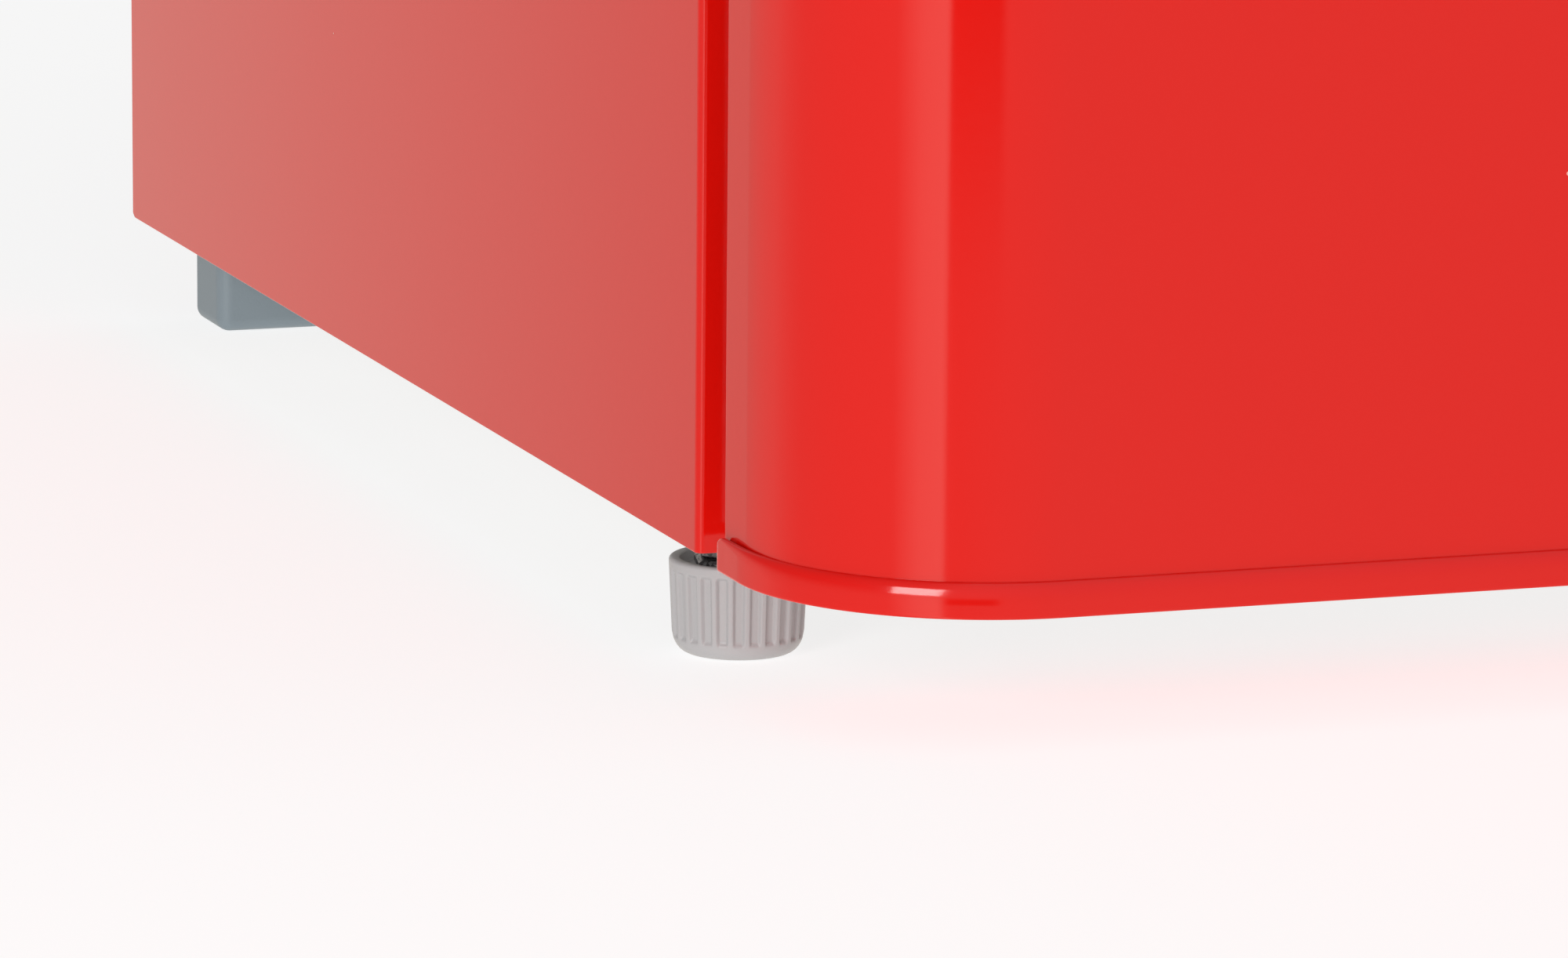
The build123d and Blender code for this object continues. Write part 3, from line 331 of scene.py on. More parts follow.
def buildSpeckGroup():
    inputs = {"Color": (0.5, 0.5, 0.5, 1), "Speck Color": (0.9, 0.6, 0.55, 1), "Scale": 40.0, "Size": 0.02}
    tree, start, end = newGroup("paintSpecks", inputs, ["Color", "Mask"])
    cells = place(tree, "ShaderNodeTexVoronoi")
    tree.links.new(objectPlace(tree), cells.inputs["Vector"])
    tree.links.new(start.outputs["Scale"], cells.inputs["Scale"])
    near = math2(tree, "LESS_THAN", cells.outputs["Distance"], start.outputs["Size"])
    speckled = mixColour(tree, near, start.outputs["Color"], start.outputs["Speck Color"])
    tree.links.new(speckled, end.inputs["Color"])
    tree.links.new(near, end.inputs["Mask"])
    return tree


def buildRippleGroup():
    tree, start, end = newGroup("sheetRipple", {"Wave Scale": 7.0, "Peel Scale": 420.0, "Peel Share": 0.05},
                                ["Height"])
    wave, peel = noisePair(tree, start, ["Wave Scale", "Peel Scale"])
    wave.inputs["Detail"].default_value = 1
    fine = math2(tree, "MULTIPLY", peel.outputs[0], start.outputs["Peel Share"])
    tree.links.new(math2(tree, "ADD", wave.outputs[0], fine), end.inputs["Height"])
    return tree


def buildSpangleGroup():
    inputs = {"Color A": (0.55, 0.56, 0.58, 1), "Color B": (0.72, 0.73, 0.75, 1), "Scale": 90.0}
    tree, start, end = newGroup("zincSpangle", inputs, ["Color", "Value"])
    cells = place(tree, "ShaderNodeTexVoronoi")
    tree.links.new(objectPlace(tree), cells.inputs["Vector"])
    tree.links.new(start.outputs["Scale"], cells.inputs["Scale"])
    grey = place(tree, "ShaderNodeSeparateColor")
    tree.links.new(cells.outputs["Color"], grey.inputs[0])
    tone = mixColour(tree, grey.outputs[0], start.outputs["Color A"], start.outputs["Color B"])
    tree.links.new(tone, end.inputs["Color"])
    tree.links.new(grey.outputs[1], end.inputs["Value"])
    return tree


groups = {"grain": buildGrainGroup(), "dust": buildDustGroup(), "edge": buildEdgeGroup(),
          "specks": buildSpeckGroup(), "ripple": buildRippleGroup(), "spangle": buildSpangleGroup()}
print("shader groups ready")


def useGroup(tree, key, **values):
    made = place(tree, "ShaderNodeGroup")
    made.node_tree = groups[key]
    for label, value in values.items():
        feed(tree, made.inputs[label.replace("_", " ")], value)
    return made.outputs


def newFinish(name, roughness=0.4, **constants):
    made = bpy.data.materials.new(name)
    made.use_nodes = True
    tree = made.node_tree
    shader = tree.nodes["Principled BSDF"]
    shader.inputs["Roughness"].default_value = roughness
    for label, value in constants.items():
        shader.inputs[label.replace("_", " ")].default_value = value
    return made, tree, shader


def addBump(tree, shader, height, strength, distance):
    bump = place(tree, "ShaderNodeBump")
    bump.inputs["Strength"].default_value = strength
    bump.inputs["Distance"].default_value = distance
    tree.links.new(height, bump.inputs["Height"])
    tree.links.new(bump.outputs[0], shader.inputs["Normal"])


def opaque(rgb):
    return (*rgb, 1.0)


paint = {"red": (0.735, 0.006, 0.003), "edge": (0.9, 0.12, 0.1), "speck": (0.86, 0.42, 0.36),
         "speckSize": 0.016, "roughness": 0.075, "ripple": 0.05, "peel": 0.04,
         "mouldingRoughness": 0.11, "mouldingRipple": 0.06, "mouldingPeel": 0.09}


def makeEnamel(name, roughness, ripple, peelShare):
    made, tree, shader = newFinish(name, roughness, IOR=1.5)
    specks = useGroup(tree, "specks", Color=opaque(paint["red"]), Speck_Color=opaque(paint["speck"]),
                      Scale=34.0, Size=paint["speckSize"])
    edge = useGroup(tree, "edge", Color=specks["Color"], Edge_Color=opaque(paint["edge"]),
                    Width=0.0007, Amount=0.55)
    tree.links.new(edge["Color"], shader.inputs["Base Color"])
    height = useGroup(tree, "ripple", Wave_Scale=5.0, Peel_Scale=380.0, Peel_Share=peelShare)
    addBump(tree, shader, height["Height"], ripple, 0.002)
    return made


def makePlastic(name, rgb, roughness, grain=0.12, dust=0.06, edge=0.15, **constants):
    made, tree, shader = newFinish(name, roughness, **constants)
    light = tuple(min(1.0, c * 1.25 + 0.03) for c in rgb)
    worn = useGroup(tree, "edge", Color=opaque(rgb), Edge_Color=opaque(light), Width=0.0006, Amount=edge)
    dusty = useGroup(tree, "dust", Color=worn["Color"], Roughness=roughness, Amount=dust)
    tree.links.new(dusty["Color"], shader.inputs["Base Color"])
    tree.links.new(dusty["Roughness"], shader.inputs["Roughness"])
    height = useGroup(tree, "grain", Scale=1400.0, Coarse=160.0, Coarse_Share=0.4)
    addBump(tree, shader, height["Height"], grain, 0.0004)
    return made


def makeZinc(name, dark, light, roughness, scale, sparkle=0.15):
    made, tree, shader = newFinish(name, roughness, Metallic=1.0)
    spangle = useGroup(tree, "spangle", Color_A=opaque(dark), Color_B=opaque(light), Scale=scale)
    edge = useGroup(tree, "edge", Color=spangle["Color"], Edge_Color=(0.85, 0.85, 0.86, 1),
                    Width=0.0005, Amount=0.5)
    tree.links.new(edge["Color"], shader.inputs["Base Color"])
    spread = math2(tree, "ADD", math2(tree, "MULTIPLY", spangle["Value"], 0.25), roughness - 0.1)
    tree.links.new(spread, shader.inputs["Roughness"])
    addBump(tree, shader, spangle["Value"], sparkle, 0.0004)
    return made


def makeMetal(name, rgb, roughness, brush=0.0, scale=900.0):
    made, tree, shader = newFinish(name, roughness, Metallic=1.0)
    grain = useGroup(tree, "grain", Scale=scale, Coarse=24.0, Coarse_Share=0.5)
    duller = opaque(tuple(c * 0.93 for c in rgb))
    tone = mixColour(tree, rampOf(tree, grain["Value"], 0.3, 0.7), duller, opaque(rgb))
    tree.links.new(tone, shader.inputs["Base Color"])
    addBump(tree, shader, grain["Height"], brush, 0.0002)
    return made


def makeClear(name, rgb, roughness, ior):
    made, tree, shader = newFinish(name, roughness, IOR=ior)
    shader.inputs["Base Color"].default_value = opaque(rgb)
    shader.inputs["Transmission Weight"].default_value = 0.94
    height = useGroup(tree, "grain", Scale=240.0, Coarse=30.0, Coarse_Share=0.6)
    addBump(tree, shader, height["Height"], 0.04, 0.0005)
    return made


finishes = {
    "enamel": makeEnamel("redEnamelSheet", paint["roughness"], paint["ripple"], paint["peel"]),
    "redMoulding": makeEnamel("redLacqueredMoulding", paint["mouldingRoughness"], paint["mouldingRipple"],
                              paint["mouldingPeel"]),
    "footGrey": makePlastic("warmGreyFoot", (0.475, 0.465, 0.47), 0.38, 0.16, 0.1, 0.35),
    "rearFoot": makePlastic("blueGreyFoot", (0.235, 0.285, 0.32), 0.45, 0.16, 0.1, 0.3),
    "white": makePlastic("whiteLiner", (0.84, 0.845, 0.83), 0.22, 0.05, 0.03, 0.1),
    "pale": makePlastic("paleGreyMoulding", (0.62, 0.63, 0.64), 0.35, 0.12, 0.05, 0.2),
    "black": makePlastic("blackMoulding", (0.022, 0.022, 0.024), 0.42, 0.2, 0.2, 0.3),
    "blackPaint": makePlastic("blackStovePaint", (0.014, 0.014, 0.015), 0.28, 0.08, 0.25, 0.35),
    "seal": makePlastic("paleSeal", (0.66, 0.66, 0.64), 0.55, 0.1, 0.05, 0.1),
    "rubber": makePlastic("blackRubberSoft", (0.02, 0.02, 0.02), 0.6, 0.2, 0.2, 0.2),
    "foam": makePlastic("creamFoam", (0.78, 0.7, 0.46), 0.9, 0.6, 0.0, 0.0),
    "zinc": makeZinc("galvanisedSheet", (0.46, 0.47, 0.49), (0.66, 0.67, 0.69), 0.36, 110.0),
    "darkZinc": makeZinc("passivatedZinc", (0.1, 0.095, 0.1), (0.42, 0.41, 0.43), 0.32, 1500.0, 0.9),
    "chrome": makeMetal("polishedChrome", (0.86, 0.87, 0.88), 0.05, 0.01),
    "aluminium": makeMetal("satinAluminium", (0.74, 0.75, 0.76), 0.34, 0.1, 500.0),
    "copper": makeMetal("drawnCopper", (0.72, 0.36, 0.22), 0.28, 0.05),
    "clear": makeClear("clearMoulding", (0.93, 0.96, 0.97), 0.06, 1.49),
    "glass": makeClear("shelfGlass", (0.86, 0.94, 0.91), 0.02, 1.52),
}
nodeFinish = {
    "enamel": ["side_panel_left", "side_panel_right", "door_skin"],
    "redMoulding": ["worktop", "door_bottom_cap", "door_top_cap"],
    "zinc": ["front_rails", "base_pan", "back_panel", "top_plate", "foot_bracket", "compressor_tray",
             "upper_hinge_bracket", "lower_hinge_bracket"],
    "darkZinc": ["hinge_pins", "hex_screws", "lock_nuts", "foot_stud_left", "foot_stud_right",
                 "handle_screws"],
    "footGrey": ["foot_cap_left", "foot_cap_right"],
    "rearFoot": ["rear_feet"],
    "white": ["inner_liner", "door_liner", "icebox_frame", "icebox_flap", "icebox_hangers",
              "control_housing", "thermostat_knob"],
    "pale": ["shelf_trims", "light_switch", "light_switch_button", "drain_tube", "hinge_bushes", "lamp",
             "bottle_stop"],
    "clear": ["bottle_rack", "middle_rack", "dairy_rack", "dairy_lid", "crisper_drawer", "lamp_cover"],
    "glass": ["crisper_cover_glass", "middle_shelf_glass", "upper_shelf_glass"],
    "seal": ["door_gasket"],
    "rubber": ["compressor_grommets", "cord_gland"],
    "foam": ["cabinet_foam", "door_foam"],
    "chrome": ["handle_bar", "handle_posts"],
    "aluminium": ["icebox_body", "icebox_channels"],
    "blackPaint": ["compressor", "condenser"],
    "black": ["start_relay", "drip_tray"],
    "copper": ["filter_drier"],
}
for key, names in nodeFinish.items():
    for nodeName in names:
        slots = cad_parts[nodeName].data.materials
        slots.clear()
        slots.append(finishes[key])
print("finishes ready")


# camera and studio

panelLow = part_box("side_panel_left")[0]
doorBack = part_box("door_skin")[1].y
corner = Vector((panelLow.x, doorBack, panelLow.z))    # lower left corner of the door's back
shot = {"offset": Vector((-0.5376, -1.5841, 0.3413)),    # metres from that corner
        "yaw": 19.19, "down": 10.86, "roll": -0.49, "lens": 179.6}


def addCamera():
    yaw, down, roll = (math.radians(shot[k]) for k in ("yaw", "down", "roll"))
    ahead = Vector((math.sin(yaw) * math.cos(down), math.cos(yaw) * math.cos(down), -math.sin(down)))
    right = Vector((math.cos(yaw), -math.sin(yaw), 0))
    lower = ahead.cross(right)
    across = right * math.cos(roll) + lower * math.sin(roll)
    below = lower * math.cos(roll) - right * math.sin(roll)
    data = bpy.data.cameras.new("cornerCamera")
    data.lens, data.sensor_width = shot["lens"], 36.0
    data.clip_start, data.clip_end = 0.05, 60
    camera = bpy.data.objects.new("cornerCamera", data)
    camera.matrix_world = Matrix((
        (across.x, -below.x, -ahead.x, 0), (across.y, -below.y, -ahead.y, 0),
        (across.z, -below.z, -ahead.z, 0), (0, 0, 0, 1)))
    camera.location = corner + shot["offset"]
    scene.collection.objects.link(camera)
    scene.camera = camera


studio = {"softbox": 46.0, "softAzimuth": 47.0, "softHeight": 18.0, "softDistance": 3.2, "softWide": 1.27,
          "softTall": 1.13, "warm": (1.0, 0.94, 0.84), "floorGrey": 0.36, "floorGlow": 0.76, "sky": 1.0,
          "horizonBlend": 0.25, "darkTurn": (8, 12, 33, 35), "darkTall": (-0.166, -0.125, 0.0, 0.1),
          "darkDepth": 0.9, "floorReach": 14.0, "floorDrop": 0.2 * mm}    # dark values shape one black flag
# turn from the door's front towards its left side in degrees, then radiance
lowSky = [(-180, 0.9), (-120, 0.75), (-60, 0.62), (-24, 0.66), (8, 0.6), (30, 0.5), (34, 0.55), (36, 1.7),
          (47, 1.5), (60, 0.6), (112, 0.5), (132, 0.66), (150, 0.52), (160, 0.42), (166, 0.78), (180, 0.9)]
highSky = [(-180, 0.35), (-90, 0.5), (-40, 0.6), (20, 0.6), (60, 0.3), (100, 0.18), (150, 0.18), (180, 0.35)]


def skyRamp(tree, source, stops, tint=(1.0, 1.0, 1.0)):
    ramp = place(tree, "ShaderNodeValToRGB")
    tree.links.new(source, ramp.inputs[0])
    elements = ramp.color_ramp.elements
    while len(elements) < len(stops):
        elements.new(0.5)
    for element, (turn, _) in zip(elements, stops):
        element.position = turn / 360 + 0.5
    for element, (_, level) in zip(elements, stops):
        element.color = (*(level * t / 2 for t in tint), 1)    # the background's strength doubles it
    return ramp.outputs[0]


def addSky():
    world = bpy.data.worlds.new("paleStudio")
    world.use_nodes = True
    scene.world = world
    tree = world.node_tree
    parts = place(tree, "ShaderNodeSeparateXYZ")
    tree.links.new(place(tree, "ShaderNodeTexCoord").outputs["Generated"], parts.inputs[0])
    x, y, z = (parts.outputs[k] for k in "XYZ")
    turn = math2(tree, "ARCTAN2", math2(tree, "MULTIPLY", x, -1.0), math2(tree, "MULTIPLY", y, -1.0))
    share = math2(tree, "ADD", math2(tree, "DIVIDE", turn, 2 * math.pi), 0.5)
    low, high = skyRamp(tree, share, lowSky, studio["warm"]), skyRamp(tree, share, highSky)
    both = mixColour(tree, rampOf(tree, z, 0.0, studio["horizonBlend"]), low, high)
    turns = [math.radians(t) for t in studio["darkTurn"]]
    floorFar, floorNear, skyNear, skyFar = studio["darkTall"]
    opening, closing = rampOf(tree, turn, turns[0], turns[1]), rampOf(tree, turn, turns[3], turns[2])
    darkTurn = math2(tree, "MULTIPLY", opening, closing)
    darkLow = math2(tree, "MULTIPLY", darkTurn, rampOf(tree, z, floorFar, floorNear))
    flag = math2(tree, "MULTIPLY", darkLow, rampOf(tree, z, skyFar, skyNear))
    sky = mixColour(tree, math2(tree, "MULTIPLY", flag, studio["darkDepth"]), both, (0, 0, 0, 1))
    back = tree.nodes["Background"]
    tree.links.new(sky, back.inputs["Color"])
    back.inputs["Strength"].default_value = 2 * studio["sky"]
    plain = place(tree, "ShaderNodeBackground")
    plain.inputs["Color"].default_value = (1, 1, 1, 1)
    choose = place(tree, "ShaderNodeMixShader")
    tree.links.new(place(tree, "ShaderNodeLightPath").outputs["Is Camera Ray"], choose.inputs[0])
    tree.links.new(back.outputs[0], choose.inputs[1])
    tree.links.new(plain.outputs[0], choose.inputs[2])
    tree.links.new(choose.outputs[0], tree.nodes["World Output"].inputs["Surface"])


def addSoftbox():
    turn, lift = math.radians(studio["softAzimuth"]), math.radians(studio["softHeight"])
    aim = Vector((corner.x + 0.02, corner.y - 0.05, 0.05))
    away = Vector((-math.sin(turn) * math.cos(lift), -math.cos(turn) * math.cos(lift), math.sin(lift)))
    data = bpy.data.lights.new("sideSoftbox", "AREA")
    data.shape, data.size, data.size_y = "RECTANGLE", studio["softWide"], studio["softTall"]
    data.energy = studio["softbox"]
    lamp = bpy.data.objects.new("sideSoftbox", data)
    lamp.location = aim + away * studio["softDistance"]
    lamp.rotation_euler = (-away).to_track_quat("-Z", "Y").to_euler()
    scene.collection.objects.link(lamp)


def addFloor():
    reach = studio["floorReach"]
    corners = [(-reach, -reach, 0), (reach, -reach, 0), (reach, reach, 0), (-reach, reach, 0)]
    mesh = bpy.data.meshes.new("studioFloor")
    mesh.from_pydata(corners, [], [[0, 1, 2, 3]])
    floor = bpy.data.objects.new("studioFloor", mesh)
    floor.location.z = -studio["floorDrop"]
    floor.visible_glossy = False
    made, tree, shader = newFinish("paleFloor", 0.7)
    grain = useGroup(tree, "grain", Scale=60.0, Coarse=3.0, Coarse_Share=0.2)
    dark = studio["floorGrey"]
    light = dark + 0.02
    tone = mixColour(tree, grain["Value"], opaque([dark] * 3), opaque([light] * 3))
    tree.links.new(tone, shader.inputs["Base Color"])
    shader.inputs["Specular IOR Level"].default_value = 0.0
    shader.inputs["Emission Color"].default_value = (1, 1, 1, 1)
    shader.inputs["Emission Strength"].default_value = studio["floorGlow"]
    mesh.materials.append(made)
    scene.collection.objects.link(floor)


def addStudio():
    scene.view_settings.view_transform = "Standard"
    addSky()
    addSoftbox()
    addFloor()


addCamera()
addStudio()
print("camera and studio ready")


# cabinet outside

cabinet = {"sheet": 0.8 * mm, "frontFlange": 18 * mm, "rearReturn": 12 * mm, "bend": 2.0 * mm,
           "rearCorner": 4 * mm, "sheetEdge": 0.16 * mm}


def addSidePanels():
    lo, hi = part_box("side_panel_right")
    sheet, bend, turned = cabinet["sheet"], cabinet["bend"], cabinet["rearCorner"]
    start = hi.y - turned
    path = roundPath([(hi.x - cabinet["frontFlange"], lo.y), (hi.x, lo.y), (hi.x, start), (hi.x, hi.y),
                      (hi.x - cabinet["rearReturn"], hi.y)], [bend, 0, bend * 0.7], 10)
    steps = [Vector((hi.x, start + turned * k / 8)) for k in range(1, 7)]
    at = max(i for i, p in enumerate(path) if abs(p.y - start) < 1e-7)
    path = path[:at + 1] + [p for p in steps if p.y < path[at + 1].y - 1e-5] + path[at + 1:]

    def low(p):    # the lower rear corner is rounded
        past = min(max(p.y - start, 0), turned)
        return lo.z + turned - math.sqrt(max(turned * turned - past * past, 0))

    made = bentSheet(path, sheet, low, lambda p: hi.z)
    for side, shape in (("Right", made), ("Left", mirrored(made))):
        addPiece(f"sidePanel{side}", Shape().add(shape), "cabinet", "enamel",
                 [f"side_panel_{side.lower()}"], cabinet["sheetEdge"])


top = {"corner": 55 * mm, "edge": 7 * mm, "wall": 3.5 * mm, "flat": 11.2 * mm}


def planLoop(lo, hi, radius, inset, rearInset):
    x, front, rear = hi.x - inset, lo.y + inset, hi.y - rearInset
    path = roundPath([(-x, rear), (-x, front), (x, front), (x, rear)], max(radius - inset, 1 * mm), 40)
    return path + [Vector((x - 2 * x * k / 12, rear)) for k in range(1, 12)]


def addWorktop():
    lo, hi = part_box("worktop")
    wall, edge = top["wall"], top["edge"]
    levels = [(wall, hi.z - wall), (wall, lo.z + 0.3 * mm), (wall - 0.3 * mm, lo.z), (0.5 * mm, lo.z),
              (0, lo.z + 0.5 * mm), (0, hi.z - edge)]
    for k in range(1, 11):
        a = math.pi / 2 * k / 10
        levels.append((edge * (1 - math.cos(a)), hi.z - edge * (1 - math.sin(a))))
    levels.append((top["flat"], hi.z))
    rings = []
    for inset, z in levels:
        rings.append([(p.x, p.y, z) for p in planLoop(lo, hi, top["corner"], inset, min(inset, top["flat"]))])
    addPiece("worktopLid", Shape().add(loft(rings)), "cabinet", "redMoulding", ["worktop"])


# door outside

door = {"corner": 53 * mm, "sheet": 0.8 * mm, "return": 12 * mm, "backBend": 0.9 * mm, "skinEdge": 0.15 * mm}


def addDoorSkin():
    lo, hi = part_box("door_skin")
    x, fold = hi.x, door["return"]
    path = roundPath([(fold - x, hi.y), (-x, hi.y), (-x, lo.y), (x, lo.y), (x, hi.y), (x - fold, hi.y)],
                     [door["backBend"], door["corner"], door["corner"], door["backBend"]], 56)
    shape = Shape().add(bentSheet(path, door["sheet"], lambda p: lo.z, lambda p: hi.z))
    addPiece("doorSkinSheet", shape, "door", "enamel", ["door_skin"], door["skinEdge"])


def smoothStep(t):
    t = min(max(t, 0.0), 1.0)
    return t * t * (3 - 2 * t)


lip = {"proud": 2.0 * mm, "endWall": 1.1 * mm, "height": 7.9 * mm, "frontRound": 1.85 * mm,
       "frontRise": 5.0 * mm, "endRound": 0.35 * mm, "endCorner": 4.0 * mm, "floor": 3.0 * mm,
       "underEdge": 0.7 * mm, "closeAngle": 24.0, "endPull": 0.5625 * mm, "endPullReach": 1.2 * mm,
       "endStep": 1.5 * mm, "rimInset": 1 * mm, "rimBack": 3 * mm, "rimWall": 1.8 * mm,
       "bore": 7.05 * mm, "boss": 9 * mm}


def lipPath(reach, front, rear):
    path = roundPath([(-reach, rear), (-reach, front), (reach, front), (reach, rear)], door["corner"], 72)
    end = lip["endCorner"]
    extra = [Vector((-reach, rear - end * (1 - math.cos(math.pi / 2 * k / 9)))) for k in range(1, 10)]
    extra += [Vector((-reach, rear - end - k * lip["endStep"])) for k in range(1, 6)]
    return path[:1] + extra + path[1:-1] + [Vector((-p.x, p.y)) for p in reversed(extra)] + path[-1:]


def addEndCaps():
    skinLow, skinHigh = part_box("door_skin")
    lo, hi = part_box("door_bottom_cap")
    rear, front, reach = skinHigh.y, skinLow.y, skinHigh.x
    end = lip["endCorner"]
    closeY = front + door["corner"] * (1 - math.sin(math.radians(lip["closeAngle"])))

    def profile(p):    # thinner and square at the back, full and rounded from the corner on
        t = smoothStep((rear - p.y) / (rear - closeY))
        wall = lip["endWall"] + (lip["proud"] - lip["endWall"]) * t
        rounded = lip["endRound"] + (lip["frontRound"] - lip["endRound"]) * t
        past = max(p.y - (rear - end), 0)
        high = lo.z + lip["height"] - (end - math.sqrt(max(end ** 2 - past ** 2, 0)))
        pull = lip["endPull"] * smoothStep((p.y - (rear - lip["endPullReach"])) / lip["endPullReach"])
        outer = lip["proud"] - pull
        inner = max(outer - wall, 0.0)
        rounded = min(rounded, outer - inner - 0.02 * mm)
        rise = rounded + (lip["frontRise"] - lip["frontRound"]) * t
        under = lip["underEdge"]
        points = [(inner, lo.z + 0.2 * mm), (inner, high)]
        for k in range(11):
            a = math.pi / 2 * k / 10
            points.append((outer - rounded + rounded * math.sin(a), high - rise + rise * math.cos(a)))
        for k in range(6):
            a = math.pi / 2 * k / 5
            points.append((outer - under + under * math.cos(a), lo.z + under - under * math.sin(a)))
        return points

    def floorLoop(inset, z):
        return [(p.x, p.y, z) for p in planLoop(lo, hi, door["corner"] + lip["proud"], inset, inset)]

    plate = loft([floorLoop(1.5 * mm, lo.z), floorLoop(1.3 * mm, lo.z + 0.2 * mm),
                  floorLoop(1.3 * mm, lo.z + lip["floor"])])
    x, y0, y1 = reach - lip["rimInset"], front + lip["rimInset"], rear - lip["rimBack"]
    rimPath = roundPath([(-x, y1), (-x, y0), (x, y0), (x, y1)], door["corner"] - lip["rimInset"], 32)
    rim = bentSheet(rimPath, lip["rimWall"], lambda p: lo.z + lip["floor"] * 0.5, lambda p: hi.z)
    pinLow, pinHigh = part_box("hinge_bushes")
    low = lo.z + 0.4 * mm
    boss = lathe([(lip["bore"], low), (lip["boss"], low), (lip["boss"], hi.z - 0.6 * mm),
                  (lip["boss"] - 0.6 * mm, hi.z), (lip["bore"], hi.z)],
                 ((pinLow.x + pinHigh.x) / 2, (pinLow.y + pinHigh.y) / 2, 0), 40, capped=False)
    lower = Shape().add(sweptWall(lipPath(reach, front, rear), profile)).add(plate).add(rim).add(boss)
    addPiece("doorCapLower", lower, "door", "redMoulding", ["door_bottom_cap"])
    total = lo.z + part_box("door_top_cap")[1].z
    upper = Shape()
    upper.verts = [(x, y, total - z) for x, y, z in lower.verts]
    upper.faces = [f[::-1] for f in lower.faces]
    addPiece("doorCapUpper", upper, "door", "redMoulding", ["door_top_cap"])


addSidePanels()
addWorktop()
addDoorSkin()
addEndCaps()
print("cabinet and door outside ready")


# feet

foot = {"flutes": 25, "fluteDepth": 0.85 * mm, "ridgeShare": 0.46, "collar": 2.2 * mm, "fluteLow": 3.3 * mm,
        "soleFlat": 11.2 * mm, "soleRound": 6.0 * mm, "taper": 0.7 * mm, "wall": 2.2 * mm, "dish": 2.5 * mm,
        "rimRound": 0.9 * mm, "around": 400}    # around counts the points of one ring


def footRadius(height, radius, z):
    side = radius - foot["taper"]
    if z < foot["soleRound"]:
        t = 1 - z / foot["soleRound"]
        return foot["soleFlat"] + (side - foot["soleFlat"]) * math.sqrt(max(1 - t ** 2.2, 0))
    return side + foot["taper"] * min((z - foot["soleRound"]) / (height - foot["soleRound"] - 1 * mm), 1)


def addFootCap(side):
    node = f"foot_cap_{side.lower()}"
    lo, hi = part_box(node)
    cx, cy = (lo.x + hi.x) / 2, (lo.y + hi.y) / 2
    height, radius = hi.z, (hi.x - lo.x) / 2
    levels = [z * mm for z in (0, 0.15, 0.5, 1.0, 1.6, 2.3, 2.9)]
    levels += [foot["fluteLow"] + k * 0.35 * mm for k in range(5)]
    low, high = foot["fluteLow"] + 1.75 * mm, height - foot["collar"]
    levels += [low + (high - low - 1.0 * mm) * k / 8 for k in range(9)]
    levels += [high + z * mm for z in (-0.75, -0.5, -0.25, 0, 0.25, 0.8)]
    levels.append(height - foot["rimRound"] - 0.3 * mm)
    rings = []
    for z in levels:
        r0 = footRadius(height, radius, z)
        rise = smoothStep((z - foot["fluteLow"]) / (1.3 * mm)) * smoothStep((high - z) / (0.8 * mm))
        ring = []
        for k in range(foot["around"]):
            a = 2 * math.pi * k / foot["around"]
            phase = (a * foot["flutes"] / (2 * math.pi)) % 1.0
            edge = min(abs(phase - 0.5) * 2, 1.0)
            groove = 1 - smoothStep((edge - (1 - foot["ridgeShare"] * 2 + 0.36)) / 0.3)
            r = r0 - foot["fluteDepth"] * groove * rise
            ring.append((cx + r * math.cos(a), cy + r * math.sin(a), z))
        rings.append(ring)
    rim = []
    for k in range(7):
        a = math.pi / 2 * k / 6
        rim.append((radius - foot["rimRound"] * (1 - math.cos(a)),
                    height - foot["rimRound"] * (1 - math.sin(a))))
    inside, dishFloor = radius - foot["wall"], height - foot["dish"]
    rim += [(inside, height - 0.1 * mm), (inside - 0.35 * mm, height - 0.5 * mm),
            (inside - 0.8 * mm, dishFloor + 0.4 * mm), (inside - 1.3 * mm, dishFloor)]
    rings += [circle(cx, cy, z, r, foot["around"]) for r, z in rim]
    addPiece(f"levellingFoot{side}", Shape().add(loft(rings)), f"{side.lower()}_foot", "footGrey",
             [node], sharp=55)


stud = {"radius": 5.0 * mm, "pitch": 1.25 * mm, "thread": 0.62 * mm, "collarFlats": 19 * mm,
        "nutFlats": 17 * mm}


def addFootStud(side):
    node = f"foot_stud_{side.lower()}"
    lo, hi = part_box(node)
    cx, cy = (lo.x + hi.x) / 2, (lo.y + hi.y) / 2
    rings = []
    around, perTurn = 28, 8
    count = int((hi.z - lo.z) / stud["pitch"] * perTurn)
    for n in range(count + 1):
        z = lo.z + (hi.z - lo.z) * n / count
        fade = smoothStep((z - lo.z - 1 * mm) / (1 * mm))
        full = smoothStep((hi.z - z) / (1.2 * mm))
        ring = []
        for k in range(around):
            a = 2 * math.pi * k / around
            phase = (z / stud["pitch"] - k / around) % 1.0
            r = stud["radius"] * (0.8 + 0.2 * full) - stud["thread"] * abs(phase * 2 - 1) * fade
            ring.append((cx + r * math.cos(a), cy + r * math.sin(a), z))
        rings.append(ring)
    shape = Shape().add(loft(rings))
    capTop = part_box(f"foot_cap_{side.lower()}")[1].z
    shape.add(hexagon((cx, cy), stud["collarFlats"], lo.z, capTop - 0.02 * mm, 0.3))
    addPiece(f"footStud{side}", shape, f"{side.lower()}_stud", "darkZinc", [node], sharp=25)


